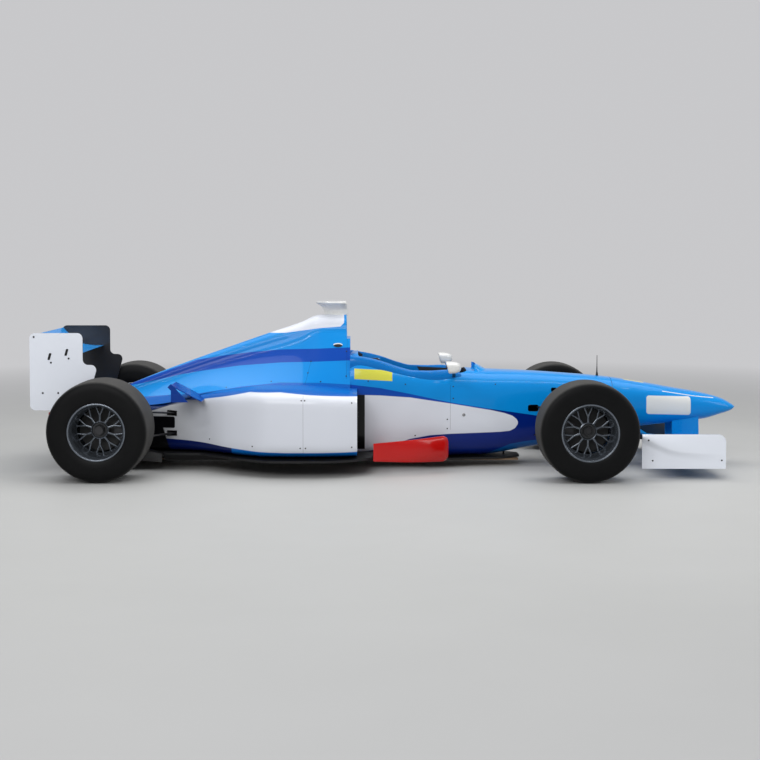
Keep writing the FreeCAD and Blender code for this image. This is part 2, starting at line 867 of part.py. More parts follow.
def make_caliper(centre, disc_inner, upright_y, way):
    """A brake calliper: a C-shaped profile swept part of the way round the disc, on a bracket."""
    disc_outer = disc_inner + disc_thickness
    near = disc_inner - running_gap
    far = disc_outer + running_gap
    bridge = disc_radius + running_gap
    profile = [(near - caliper_cheek, caliper_inner_radius), (near, caliper_inner_radius), (near, bridge),
               (far, bridge), (far, caliper_inner_radius), (far + caliper_cheek, caliper_inner_radius),
               (far + caliper_cheek, caliper_outer_radius), (near - caliper_cheek, caliper_outer_radius)]
    body = turned(profile, centre, caliper_sweep)
    body.rotate(centre, Vector(0, 1, 0), way * 90 - caliper_sweep / 2)
    reach = sorted((centre.x, centre.x + way * (caliper_inner_radius + caliper_cheek)))
    bracket = box(reach[0], reach[1], upright_y, centre.y + near,
                  centre.z - bracket_half_height, centre.z + bracket_half_height)
    return body.fuse(bracket)


def make_front_upright():
    """The left steered upright, with its stub axle, steering arm and brake calliper."""
    centre = front_centre
    inner = kingpin_y - upright_half_thickness
    outer = kingpin_y + upright_half_thickness
    body = box(centre.x - upright_half_chord, centre.x + upright_half_chord, inner, outer,
               centre.z - upright_half_height, centre.z + upright_half_height)
    axle = cylinder(axle_radius, Vector(centre.x, kingpin_y, centre.z),
                    Vector(centre.x, web_face(centre, front_tyre_width, front_recess), centre.z))
    arm_low = rack_height - rack_radius - running_gap - arm_thickness
    arm = box(centre.x, centre.x + rack_ahead + arm_half_width, kingpin_y - arm_half_width,
              kingpin_y + arm_half_width, arm_low, arm_low + arm_thickness)
    caliper = make_caliper(centre, disc_face(centre, front_tyre_width, front_recess), kingpin_y, -1)
    body = body.fuse(axle).fuse(arm).fuse(caliper)
    arm_x = centre.x + rack_ahead
    for z in (centre.z + upright_half_height, centre.z - upright_half_height):
        down = math.copysign(pin_length, centre.z - z)
        body = body.cut(cylinder(pin_radius + pin_gap, Vector(centre.x, kingpin_y, z),
                                 Vector(centre.x, kingpin_y, z + down)))
    body = body.cut(cylinder(rod_eye_radius, Vector(arm_x, kingpin_y, arm_low - overrun),
                             Vector(arm_x, kingpin_y, arm_low + overrun)))
    return body.removeSplitter()


def make_wishbone(outer, front_mount, rear_mount, chord, thickness, pin_way):
    """Two legs from one outer eye, with the ball joint's pin where pin_way isn't zero."""
    eye = Part.makeCylinder(eye_radius, eye_thickness, outer - Vector(0, 0, eye_thickness / 2))
    front_leg = flat_tube(outer, front_mount, chord, thickness)
    rear_leg = flat_tube(outer, rear_mount, chord, thickness)
    legs = front_leg.fuse(rear_leg).fuse(eye)
    if pin_way:
        legs = legs.fuse(cylinder(pin_radius, outer, outer + Vector(0, 0, pin_way * pin_length)))
    return legs


leg_chord = 34.0
leg_thickness = 12.0
front_upper_height = 400.0
front_lower_height = 215.0
front_mount_ahead = 190.0
front_mount_behind = 270.0
mount_y = 120.0


def make_front_wishbones(hull):
    """Upper and lower wishbones, from the ball joints to the side of the tub."""
    wishbones = []
    for side, height in ((1, front_upper_height), (-1, front_lower_height)):
        outer = Vector(front_axle_x, kingpin_y, front_tyre_radius + side * ball_height)
        ahead_mount = Vector(front_axle_x + front_mount_ahead, mount_y, height)
        behind_mount = Vector(front_axle_x - front_mount_behind, mount_y, height)
        wishbone = make_wishbone(outer, ahead_mount, behind_mount, leg_chord, leg_thickness, -side).cut(hull)
        wishbones.append(largest(wishbone))
    return both_sides(Part.makeCompound(wishbones))


def make_rack():
    """The steering rack with its two track rods, and a pin down into each steering arm."""
    x = front_axle_x + rack_ahead
    bar = cylinder(rack_radius, Vector(x, -kingpin_y - eye_radius, rack_height),
                   Vector(x, kingpin_y + eye_radius, rack_height))
    for y in (-kingpin_y, kingpin_y):
        bar = bar.fuse(cylinder(rod_pin_radius, Vector(x, y, rack_height),
                                Vector(x, y, rack_height - rack_radius - running_gap - arm_thickness)))
    return bar.removeSplitter()


rear_upright_inset = 110.0
rear_upright_y = rear_wheel_y - rear_upright_inset
rear_upper_height = 350.0
rear_lower_height = 250.0
rear_mount_ahead = 570.0
rear_mount_behind = 60.0
rear_mount_y = 60.0
rear_mount_front_y = 130.0


def make_rear_uprights():
    centre = rear_centre
    inner = rear_upright_y - upright_half_thickness
    outer = rear_upright_y + upright_half_thickness
    body = box(centre.x - upright_half_chord, centre.x + upright_half_chord, inner, outer,
               centre.z - upright_half_height, centre.z + upright_half_height)
    axle = cylinder(axle_radius, Vector(centre.x, rear_upright_y, centre.z),
                    Vector(centre.x, web_face(centre, rear_tyre_width, rear_recess), centre.z))
    caliper = make_caliper(centre, disc_face(centre, rear_tyre_width, rear_recess), rear_upright_y, 1)
    bore = cylinder(shaft_bore_radius, Vector(centre.x, 0, centre.z),
                    Vector(centre.x, overall_width, centre.z))
    return both_sides(body.fuse(axle).fuse(caliper).cut(bore).removeSplitter())


shaft_radius = 11.0
shaft_bore_radius = 15.0
shaft_start = 85.0
joint_radius = 32.0
joint_length = 45.0
inner_joint_y = 106.0
outer_joint_inset = 75.0
outer_joint_y = rear_upright_y - outer_joint_inset


def make_driveshaft():
    """The left driveshaft: from the gearbox through the hollow upright to a head inside the wheel's nut."""
    centre = rear_centre
    head = web_face(centre, rear_tyre_width, rear_recess) + running_gap
    end = web_face(centre, rear_tyre_width, rear_recess) + nut_length
    profile = [(shaft_start, 0), (shaft_start, shaft_radius), (inner_joint_y, shaft_radius),
               (inner_joint_y, joint_radius), (inner_joint_y + joint_length, joint_radius),
               (inner_joint_y + joint_length, shaft_radius), (outer_joint_y, shaft_radius),
               (outer_joint_y, joint_radius), (outer_joint_y + joint_length, joint_radius),
               (outer_joint_y + joint_length, shaft_radius), (head, shaft_radius), (head, axle_radius),
               (end, axle_radius), (end, 0)]
    return turned([(across - centre.y, radius) for across, radius in profile], centre)


def rear_front_legs():
    """The ends of the left rear wishbones' front legs, upper then lower: outer eye and mount."""
    legs = []
    for side, height in ((1, rear_upper_height), (-1, rear_lower_height)):
        reach = upright_half_height + eye_thickness / 2 + seat_gap
        outer = Vector(rear_axle_x, rear_upright_y, rear_tyre_radius + side * reach)
        legs.append((outer, Vector(rear_axle_x + rear_mount_ahead, rear_mount_front_y, height)))
    return legs


def make_rear_wishbones(gearbox, uprights):
    wishbones = []
    for outer, ahead_mount in rear_front_legs():
        behind_mount = Vector(rear_axle_x - rear_mount_behind, rear_mount_y, ahead_mount.z)
        wishbone = make_wishbone(outer, ahead_mount, behind_mount, leg_chord, leg_thickness, 0)
        wishbone = wishbone.cut(gearbox).cut(uprights)
        wishbones.append(largest(wishbone))
    return both_sides(Part.makeCompound(wishbones))


pushrod_chord = 26.0
pushrod_thickness = 16.0
front_pushrod_inset = 90.0
front_pushrod_top = 530.0
front_pushrod_behind = 130.0
rear_pushrod_inset = 60.0
rear_pushrod_ahead = 165.0
rear_pushrod_top_share = 0.714


def make_pushrods(hull, front_wishbones, gearbox, rear_wishbones):
    foot = Vector(front_axle_x - leg_chord, kingpin_y - front_pushrod_inset, front_lower_height)
    head = Vector(front_axle_x - front_pushrod_behind, mount_y, front_pushrod_top)
    front = flat_tube(foot, head, pushrod_chord, pushrod_thickness).cut(hull).cut(front_wishbones)
    foot = Vector(rear_axle_x + leg_chord, rear_upright_y - rear_pushrod_inset, rear_lower_height)
    head = Vector(rear_axle_x + rear_pushrod_ahead, rear_mount_y, rear_pushrod_top_share * sidepod_height)
    rear = flat_tube(foot, head, pushrod_chord, pushrod_thickness).cut(gearbox).cut(rear_wishbones)
    return both_sides(Part.makeCompound([largest(front), largest(rear)]))


# Cockpit
wheel_half_width = 130.0
wheel_half_height = 75.0
wheel_thickness = 24.0
wheel_corner = 45.0
grip_width = 26.0
grip_hole_width = 48.0
grip_hole_corner = 14.0


def upright_plate(x, thickness, y_low, y_high, z_low, z_high, radius):
    """A rounded rectangle across the car, drawn out along X."""
    corners = [Vector(x, y_low, z_low), Vector(x, y_high, z_low),
               Vector(x, y_high, z_high), Vector(x, y_low, z_high)]
    return plate(corners, [radius] * len(corners), Vector(thickness, 0, 0))


def make_steering_wheel():
    """The steering wheel with its two hand holes, on a column that leans back towards the driver."""
    x = behind(wheel_share)
    low = wheel_height - wheel_half_height
    high = wheel_height + wheel_half_height
    rim = upright_plate(x, wheel_thickness, -wheel_half_width, wheel_half_width, low, high, wheel_corner)
    hole_outer = wheel_half_width - grip_width
    hole_inner = hole_outer - grip_hole_width
    hole = upright_plate(x - overrun, wheel_thickness + 2 * overrun, hole_inner, hole_outer,
                         low + grip_width, high - grip_width, grip_hole_corner)
    rim = rim.cut(hole).cut(mirrored(hole))
    rim.rotate(Vector(x, 0, wheel_height), Vector(0, 1, 0), column_lean)
    return rim.fuse(column_shape(column_radius)).removeSplitter()


seat_front_share = 0.30
seat_half_width = 200.0
seat_side = 22.0
seat_thickness = 25.0
seat_low = 130.0
seat_back_run = 250.0
seat_back_share = 0.80
bolster_height = 130.0


def make_seat(tub):
    """The moulded seat: a reclined shell with raised sides, in the bottom of the tub."""
    front = behind(seat_front_share)
    rear = behind(cavity_rear_share) + overrun
    low = seat_low
    top = scuttle_height * seat_back_share
    lift = seat_thickness + bolster_height
    profile = [(front, low), (rear + seat_back_run, low), (rear, top), (rear + 2 * seat_thickness, top),
               (rear + seat_back_run + seat_thickness, low + seat_thickness), (front, low + seat_thickness)]
    side = [(front, low), (rear + seat_back_run, low), (rear, top), (rear + lift, top),
            (rear + seat_back_run + lift / 2, low + lift), (front, low + seat_thickness)]
    shell = side_plate(profile, no_corners(profile), -seat_half_width, seat_half_width)
    bolster = side_plate(side, no_corners(side), seat_half_width - seat_side, seat_half_width)
    return largest(shell.fuse(bolster).fuse(mirrored(bolster)).cut(tub).removeSplitter())


headrest_half_width = 222.0
headrest_inner_half = 160.0
headrest_thickness = 60.0
headrest_arm = 170.0
headrest_depth = 100.0
headrest_top_share = 1.09
headrest_corner = 40.0


def make_headrest(tub):
    """The horseshoe pad round the driver's head, dropped into the rear of the opening."""
    rear = behind(cavity_rear_share) + seat_gap
    inner = rear + headrest_thickness
    end = rear + headrest_arm
    outer_half = headrest_half_width
    inner_half = headrest_inner_half
    top = scuttle_height * headrest_top_share
    points = [(rear, -outer_half), (end, -outer_half), (end, -inner_half), (inner, -inner_half),
              (inner, inner_half), (end, inner_half), (end, outer_half), (rear, outer_half)]
    small = (outer_half - inner_half) / 3
    radii = [headrest_corner, small, small, headrest_corner, headrest_corner, small, small, headrest_corner]
    corners = [Vector(x, y, top - headrest_depth) for x, y in points]
    return largest(plate(corners, radii, Vector(0, 0, headrest_depth)).cut(tub))


screen_rear_share = 0.215
screen_half_width = 140.0
screen_top_half_width = 124.0
screen_depth = 94.0
screen_top_depth = 42.0
screen_low_share = 0.92
screen_top = 686.0
screen_thickness = 5.0
screen_steps = 12


def screen_ring(depth, half_width, height):
    """One level of the windscreen: half an ellipse round the front of the cockpit, with its thickness."""
    rear = behind(screen_rear_share)
    outer = []
    inner = []
    for index in range(screen_steps + 1):
        turn = math.pi * (index / screen_steps - 1 / 2)
        outer.append(Vector(rear + depth * math.cos(turn), half_width * math.sin(turn), height))
        inner.append(Vector(rear + (depth - screen_thickness) * math.cos(turn),
                            (half_width - screen_thickness) * math.sin(turn), height))
    return outer + inner[::-1]


def make_windscreen(hull):
    """The low wrap-round windscreen: it leans back in front and stands upright at its ends."""
    low = screen_ring(screen_depth, screen_half_width, scuttle_height * screen_low_share)
    high = screen_ring(screen_top_depth, screen_top_half_width, screen_top)
    return largest(skinned([low, high]).cut(hull))


mirror_share = 0.27
mirror_y = 420.0
mirror_height = 700.0
mirror_half_width = 70.0
mirror_half_height = 35.0
mirror_depth = 80.0
mirror_squareness = 3.6
mirror_shares = ((0, 0.96), (0.12, 1.0), (0.55, 0.93), (0.88, 0.70), (1.0, 0.42))
stalk_thickness = 8.0


def make_mirrors(hull):
    """Two streamlined mirror housings, each on a short stalk from the cockpit side."""
    x = behind(mirror_share)
    rings = []
    for along, size in mirror_shares:
        reach = size * mirror_half_height
        rings.append(body_ring(x + along * mirror_depth, size * mirror_half_width, mirror_height + reach,
                               mirror_height - reach, mirror_height, mirror_squareness, mirror_squareness))
    housing = skinned(rings)
    housing.translate(Vector(0, mirror_y, 0))
    middle = x + mirror_depth / 2
    foot = Vector(middle, mount_y, scuttle_height - mirror_depth)
    stalk = flat_tube(Vector(middle, mirror_y, mirror_height), foot, mirror_depth / 2, stalk_thickness)
    return both_sides(largest(housing.fuse(stalk).cut(hull)))


pod_camera_share = 0.527
pod_camera_height = 89.0
pod_camera_half_length = 112.0
pod_camera_half_width = 96.0
# place up the fairing, then half width, front and rear end as shares of the top's
camera_shares = (
    (0.00, 0.30, 0.97, 0.46),
    (0.40, 0.34, 0.95, 0.54),
    (0.70, 0.64, 0.92, 0.72),
    (0.90, 0.98, 0.88, 1.00),
    (1.00, 0.94, 0.82, 0.97),
)
camera_nose_share = 0.30
camera_shoulder_share = 0.6
camera_tail_share = 0.05


def make_camera_pod(cover):
    """The camera fairing on the intake: a narrow foot that flares to a wide top with a pointed tail."""
    middle = behind(pod_camera_share)
    low = cover_height - overrun
    rings = []
    for up, wide, ahead_share, back_share in camera_shares:
        z = low + up * (cover_height + pod_camera_height - low)
        half = wide * pod_camera_half_width
        front = middle + ahead_share * pod_camera_half_length
        back = middle - back_share * pod_camera_half_length
        shoulder = front - camera_nose_share * (front - back)
        haunch = front - camera_shoulder_share * (front - back)
        side = [(front, camera_nose_share * half), (shoulder, half), (haunch, half),
                (back, camera_tail_share * half)]
        ring = [Vector(x, y, z) for x, y in side] + [Vector(x, -y, z) for x, y in reversed(side)]
        rings.append(ring)
    return largest(skinned(rings).cut(cover))


aerial_share = 0.17
aerial_radius = 4.0
aerial_top = 741.0


def make_aerial(hull):
    """The rod aerial that stands on the nose."""
    root = Vector(ahead(aerial_share), 0, scuttle_height / 2)
    tip = Vector(ahead(aerial_share), 0, aerial_top)
    return max(cylinder(aerial_radius, root, tip).cut(hull).Solids, key=lambda solid: solid.BoundBox.ZMax)


# Bargeboards, from the rear edge forwards:
# (place share, half width share of body_half_width, foot share and head share of sidepod_height)
barge_shares = (
    (0.438, 0.82, 0.166, 0.373),
    (0.360, 0.72, 0.138, 0.397),
    (0.276, 0.52, 0.111, 0.420),
)
barge_thickness = 8.0
barge_corner = 45.0
barge_corner_steps = 4
barge_steps = 5
barge_bracket_share = 0.42


def row_at(rows, x):
    """The shares at a place between two rows, in proportion."""
    for rear, front in zip(rows, rows[1:]):
        if behind(rear[0]) <= x <= behind(front[0]):
            share = (x - behind(rear[0])) / (behind(front[0]) - behind(rear[0]))
            return [a + (b - a) * share for a, b in zip(rear, front)]
    return rows[-1]


def barge_ring(rows, x, corner_cut):
    """One upright section of a bargeboard, shortened above and below by the rounding of its corners."""
    place, width, foot, head = row_at(rows, x)
    outer = width * body_half_width
    low = foot * sidepod_height + corner_cut
    high = head * sidepod_height - corner_cut
    return [Vector(x, outer, low), Vector(x, outer, high),
            Vector(x, outer - barge_thickness, high), Vector(x, outer - barge_thickness, low)]


def make_bargeboards(hull, floor):
    """The curved boards ahead of the sidepods, taller in front, each on a bracket from the tub."""
    rows = smoothed(barge_shares, barge_steps)
    corner_start = behind(barge_shares[-1][0]) - barge_corner
    rings = [barge_ring(rows, behind(row[0]), 0) for row in rows if behind(row[0]) < corner_start]
    for step in range(barge_corner_steps + 1):
        turn = math.pi / 2 * step / barge_corner_steps
        x = corner_start + barge_corner * math.sin(turn)
        rings.append(barge_ring(rows, x, barge_corner * (1 - math.cos(turn))))
    board = skinned(rings)
    x = behind(barge_bracket_share)
    section = barge_ring(rows, x, 0)
    middle = (section[0].z + section[1].z) / 2
    bracket = box(x - overrun, x + overrun, 0, section[0].y - barge_thickness / 2,
                  middle, middle + barge_thickness)
    return both_sides(largest(board.fuse(bracket).cut(hull).cut(floor)))


winglet_front_share = 0.80
winglet_length = 200.0
winglet_low_share = 0.839
winglet_rise = 110.0
winglet_outer = 500.0
winglet_thickness = 6.0
fence_length = 112.0
fence_height = 120.0
fence_hook = 22.0


def make_winglets(sidepod, cover):
    """The flip-ups ahead of the rear wheels: a ramp from the sidepod's top and a swept end fence."""
    front = behind(winglet_front_share)
    rear = front - winglet_length
    low = winglet_low_share * sidepod_height
    high = low + winglet_rise
    thick = winglet_thickness
    outer = winglet_outer
    ramp_points = [(front, low), (rear, high - thick), (rear, high), (front, low + thick)]
    ramp = side_plate(ramp_points, no_corners(ramp_points), bay_half_width, outer)
    top = low + fence_height
    fence_points = [(rear, low), (rear + fence_length, low), (rear, top),
                    (rear - fence_hook, top - fence_hook), (rear, top - 2 * fence_hook)]
    fence = side_plate(fence_points, no_corners(fence_points), outer, outer + thick)
    return both_sides(largest(ramp.fuse(fence).cut(sidepod).cut(cover)))


def build():
    hull = hull_envelope()
    cover = cover_envelope()
    nodes = {}
    nodes["nose_cone"] = make_nose_cone(hull)
    nodes["monocoque"] = make_monocoque(hull)
    nodes["engine_cover"] = make_engine_cover(hull)
    duct = pod_form(body_wall)
    left_pod = make_sidepod(hull, cover, duct)
    nodes["sidepod_left"] = left_pod
    nodes["sidepod_right"] = mirrored(left_pod)
    nodes["radiators"] = make_radiators(duct)
    nodes["floor"] = make_floor(hull)
    nodes["plank"] = make_plank()
    nodes["diffuser"] = make_diffuser()
    nodes["engine_block"] = make_engine()
    nodes["gearbox"] = make_gearbox()
    nodes["rain_light"] = make_rain_light()
    nodes["front_wing_planes"] = make_front_wing_planes()
    nodes["front_wing_endplates"] = make_front_endplates()
    nodes["front_wing_pylons"] = make_front_pylons(hull, nodes["front_wing_planes"])
    nodes["rear_wing_planes"] = make_rear_wing_planes()
    nodes["crash_structure"] = make_crash_structure(nodes["rear_wing_planes"])
    nodes["rear_wing_endplates"] = make_rear_endplates()
    nodes["front_wishbones"] = make_front_wishbones(hull)
    nodes["rear_uprights"] = make_rear_uprights()
    nodes["rear_wishbones"] = make_rear_wishbones(nodes["gearbox"], nodes["rear_uprights"])
    nodes["pushrods"] = make_pushrods(hull, nodes["front_wishbones"], nodes["gearbox"],
                                      nodes["rear_wishbones"])
    nodes["front_upright_left"] = make_front_upright()
    nodes["front_upright_right"] = mirrored(nodes["front_upright_left"])
    nodes["steering_rack"] = make_rack()
    nodes["steering_wheel"] = make_steering_wheel()
    nodes["seat"] = make_seat(nodes["monocoque"])
    nodes["headrest"] = make_headrest(nodes["monocoque"])
    nodes["windscreen"] = make_windscreen(hull)
    nodes["mirrors"] = make_mirrors(hull)
    nodes["camera_pod"] = make_camera_pod(cover)
    nodes["aerial"] = make_aerial(hull)
    nodes["bargeboards"] = make_bargeboards(hull, nodes["floor"])
    nodes["winglets"] = make_winglets(left_pod, cover)
    corners = (("front", front_centre, front_tyre_radius, front_tyre_width, front_recess),
               ("rear", rear_centre, rear_tyre_radius, rear_tyre_width, rear_recess))
    for end, centre, radius, width, recess in corners:
        tyre = make_tyre(centre, radius, width)
        rim = make_rim(centre, width, recess)
        disc = make_disc(centre, width, recess)
        for side, place in (("left", lambda shape: shape), ("right", mirrored)):
            nodes["tyre_" + end + "_" + side] = place(tyre)
            nodes["rim_" + end + "_" + side] = place(rim)
            nodes["disc_" + end + "_" + side] = place(disc)
    nodes["driveshaft_left"] = make_driveshaft()
    nodes["driveshaft_right"] = mirrored(nodes["driveshaft_left"])
    return nodes


os.makedirs("parts", exist_ok=True)
for name, shape in build().items():
    shape.exportStep("parts/" + name + ".step")
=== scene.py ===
# %% [markdown]
# # An open wheel racing car, dressed from its frame
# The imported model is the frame: it says where every solid is and which body carries it.
# This script gives the car its smooth bodywork, its paint and its small parts, one step at a time.
# Everything is in metres: X runs forwards, Y to the car's left and Z up from the ground.

# %% Load the frame
import bpy
import bmesh
import math
from mathutils import Matrix, Vector
from mathutils.bvhtree import BVHTree


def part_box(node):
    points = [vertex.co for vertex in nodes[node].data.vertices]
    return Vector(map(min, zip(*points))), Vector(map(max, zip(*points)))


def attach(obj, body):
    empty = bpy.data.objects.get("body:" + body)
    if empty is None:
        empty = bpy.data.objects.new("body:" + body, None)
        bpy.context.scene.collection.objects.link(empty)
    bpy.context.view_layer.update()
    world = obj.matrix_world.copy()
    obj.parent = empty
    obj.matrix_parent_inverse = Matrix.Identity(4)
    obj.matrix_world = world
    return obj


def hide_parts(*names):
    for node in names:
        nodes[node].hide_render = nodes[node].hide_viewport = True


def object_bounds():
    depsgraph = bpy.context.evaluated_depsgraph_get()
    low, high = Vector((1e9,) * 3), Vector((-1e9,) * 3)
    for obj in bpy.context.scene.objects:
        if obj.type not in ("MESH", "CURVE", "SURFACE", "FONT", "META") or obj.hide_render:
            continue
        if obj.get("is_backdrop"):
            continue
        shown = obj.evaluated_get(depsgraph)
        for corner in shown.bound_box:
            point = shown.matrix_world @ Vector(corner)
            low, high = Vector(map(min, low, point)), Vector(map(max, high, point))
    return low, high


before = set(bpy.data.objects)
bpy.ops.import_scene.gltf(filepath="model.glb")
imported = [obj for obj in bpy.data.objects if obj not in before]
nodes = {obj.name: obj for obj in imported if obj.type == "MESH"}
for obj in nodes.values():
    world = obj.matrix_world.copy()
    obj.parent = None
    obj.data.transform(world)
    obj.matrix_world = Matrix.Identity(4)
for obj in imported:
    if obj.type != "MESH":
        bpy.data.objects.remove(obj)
cad_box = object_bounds()
print("nodes in the frame:", len(nodes))

# %% [markdown]
# The camera stands on the car's right side, low and far away, as the photographer did.
# A long lens keeps the wheels round and the car flat. A slight shift of the frame places the car as in
# the photo, which is gentler on the verticals than tilting the camera more.

# %% Camera
camera_place = (-0.2288, -9.307, 1.4237)
camera_tilt = math.radians(87.0)
camera_lens = 64.44
camera_shift = (0.0304, -0.0702)

lens = bpy.data.cameras.new("lens")
lens.lens = camera_lens
lens.sensor_width = 36.0
lens.shift_x, lens.shift_y = camera_shift
camera = bpy.data.objects.new("camera", lens)
camera.location = camera_place
camera.rotation_euler = (camera_tilt, 0, 0)
bpy.context.collection.objects.link(camera)
bpy.context.scene.camera = camera
print("camera at", camera_place)

# %% [markdown]
# Shader nodes are easier to read as formulas. One small class wraps a socket, and a sum or a product on it
# adds the Math node that works it out. Colours are mixed by their own node, since a Math node would turn
# them grey. Every other node comes from one method that takes its type, its settings and its inputs.

# %% Shader formulas
class Socket:
    """An output socket of a material's node tree, for use in formulas."""

    def __init__(self, tree, socket):
        self.tree = tree
        self.socket = socket

    def node(self, kind, settings=None, inputs=None, output=0):
        """Adds any node: settings first, then the values or links of its inputs."""
        made = self.tree.nodes.new(kind)
        for key, value in (settings or {}).items():
            if key == "stops":
                set_stops(made.color_ramp, value)
            else:
                setattr(made, key, value)
        for key, value in (inputs or {}).items():
            if isinstance(value, Socket):
                self.tree.links.new(value.socket, made.inputs[key])
            else:
                made.inputs[key].default_value = value
        return Socket(self.tree, made.outputs[output])

    def math(self, operation, *values):
        return self.node("ShaderNodeMath", {"operation": operation}, dict(enumerate(values)))

    def __add__(self, other):
        return self.math("ADD", self, other)

    def __sub__(self, other):
        return self.math("SUBTRACT", self, other)

    def __rsub__(self, other):
        return self.math("SUBTRACT", other, self)

    def __mul__(self, other):
        return self.math("MULTIPLY", self, other)

    def __truediv__(self, other):
        return self.math("DIVIDE", self, other)

    def __abs__(self):
        return self.math("ABSOLUTE", self)

    __radd__ = __add__
    __rmul__ = __mul__

    def either(self, other):
        """The larger of two masks."""
        return self.math("MAXIMUM", self, other)

    def root(self):
        """The square root."""
        return self.math("SQRT", self)

    def sine(self):
        return self.math("SINE", self)

    def mix(self, first, second):
        """A colour: the first where this mask is 0 and the second where it is 1."""
        inputs = {"Factor": self, 6: first, 7: second}
        return self.node("ShaderNodeMix", {"data_type": "RGBA"}, inputs, output=2)


def set_stops(ramp, stops):
    """Places the stops of a colour ramp: (position, colour or grey)."""
    while len(ramp.elements) < len(stops):
        ramp.elements.new(1.0)
    for element, (position, colour) in zip(ramp.elements, stops):
        element.position = position
        element.color = colour if isinstance(colour, tuple) else (colour, colour, colour, 1.0)


print("formulas on sockets ready")

# %% [markdown]
# A finish is one material. It starts from its principled shader, offers the place on the object and
# noise at any scale, and takes what varies over the surface: colour, roughness and height for the bump.
# Places come from Object coordinates, so a pattern stays on its piece when the piece moves.

# %% Finishes
class Finish:
    """A material with a principled shader, and the places and noises its formulas start from."""

    def __init__(self, name, **constants):
        self.material = bpy.data.materials.new(name)
        self.material.use_nodes = True
        self.tree = self.material.node_tree
        self.shader = self.tree.nodes["Principled BSDF"]
        for key, value in constants.items():
            self.shader.inputs[key.replace("_", " ")].default_value = value
        self.source = Socket(self.tree, None)
        self.place = self.source.node("ShaderNodeTexCoord", output=3)
        split = self.source.node("ShaderNodeSeparateXYZ", {}, {0: self.place})
        self.x, self.y, self.z = (Socket(self.tree, split.socket.node.outputs[index]) for index in range(3))

    def noise(self, scale, detail=3.0, roughness=0.5):
        """Soft noise from 0 to 1, with its scale in blotches per metre."""
        values = {"Vector": self.place, "Scale": scale, "Detail": detail, "Roughness": roughness}
        return self.source.node("ShaderNodeTexNoise", {}, values)

    def wear(self, colour, spread=0.12, scale=9.0):
        """A colour that drifts a little lighter and darker over the surface."""
        lighter = tuple(min(1.0, value * (1 + spread)) for value in colour[:3]) + (1.0,)
        darker = tuple(value * (1 - spread) for value in colour[:3]) + (1.0,)
        return self.noise(scale).mix(darker, lighter)

    def feed(self, name, value):
        self.tree.links.new(value.socket, self.shader.inputs[name])

    def bump(self, height, strength=0.3, distance=0.001):
        values = {"Height": height, "Strength": strength, "Distance": distance}
        self.feed("Normal", self.source.node("ShaderNodeBump", {}, values))


def band(value, low, high, soft=0.0015):
    """A mask that is 1 between two limits, with a narrow soft edge."""
    return rise(value, low, soft) * (1 - rise(value, high, soft))


def rise(value, edge, soft=0.0015):
    """A mask that climbs from 0 to 1 across an edge."""
    inputs = {"Value": value - edge, "From Min": -soft, "From Max": soft}
    return value.node("ShaderNodeMapRange", {}, inputs)


def plain(name, colour, roughness=0.4, metallic=0.0, grain=220.0, height=0.12, spread=0.15, blotch=9.0,
          **constants):
    """A finish with drifting colour, patchy roughness and a fine grain."""
    patchiness = 0.16
    finish = Finish(name, **constants)
    finish.feed("Base Color", finish.wear(colour, spread, blotch))
    finish.feed("Roughness", finish.noise(blotch * 2.5, 4.0) * patchiness + (roughness - patchiness / 2))
    finish.shader.inputs["Metallic"].default_value = metallic
    finish.bump(finish.noise(grain, 3.0), height, 0.001)
    return finish


def dress(name, finish):
    """Gives a node of the frame a finish."""
    mesh = nodes[name].data
    mesh.materials.clear()
    mesh.materials.append(finish.material)


print("finish helpers ready")

# %% [markdown]
# A few main sizes drive the shapes, the same ones that the frame was drawn with. Places along the car are
# shares of the wheelbase behind the front axle, or of the front overhang ahead of it. A piece given in shares
# keeps its place and its proportions if the car is made longer.

# %% Main sizes
wheelbase = 3.080
front_overhang = 1.127
front_wheel_radius = 0.317
front_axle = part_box("tyre_front_left")[1].x - front_wheel_radius
rear_axle = front_axle - wheelbase
tub_half_width = 0.290
scuttle_height = 0.650
body_half_width = 0.700
sidepod_height = 0.560
cover_height = 1.022


def behind(share):
    """A place behind the front axle, as a share of the wheelbase."""
    return front_axle - share * wheelbase


def ahead(share):
    """A place ahead of the front axle, as a share of the front overhang."""
    return front_axle + share * front_overhang


print("axles at", round(front_axle, 4), "and", round(rear_axle, 4))

# %% [markdown]
# The bodywork is a few long skins. Each is described by cross-sections: a place along the car, then widths
# and heights as shares of the size they follow. Rows set far apart are joined by smooth curves that never
# overshoot, so a few rows shape metres of bodywork, and the skin can be as fine as the render needs.

# %% Rows
def gentle_slope(before, after):
    """The slope at a row, from the slopes on both sides; level at a peak or a dip."""
    if before * after <= 0:
        return 0
    return 2 * before * after / (before + after)


def smoothed(rows, steps):
    """More rows between the given ones, on smooth curves that never overshoot them."""
    slopes = []
    for low, high in zip(rows, rows[1:]):
        slopes.append([(b - a) / (high[0] - low[0]) for a, b in zip(low, high)])
    tangents = [slopes[0]]
    for before, after in zip(slopes, slopes[1:]):
        tangents.append([gentle_slope(a, b) for a, b in zip(before, after)])
    tangents.append(slopes[-1])
    dense = []
    for index in range(len(rows) - 1):
        span = rows[index + 1][0] - rows[index][0]
        for step in range(steps):
            t = step / steps
            weights = (2 * t**3 - 3 * t**2 + 1, 3 * t**2 - 2 * t**3, t**3 - 2 * t**2 + t, t**3 - t**2)
            values = zip(rows[index], rows[index + 1], tangents[index], tangents[index + 1])
            dense.append([a * weights[0] + b * weights[1] + span * (c * weights[2] + d * weights[3])
                          for a, b, c, d in values])
    dense.append(list(rows[-1]))
    return dense


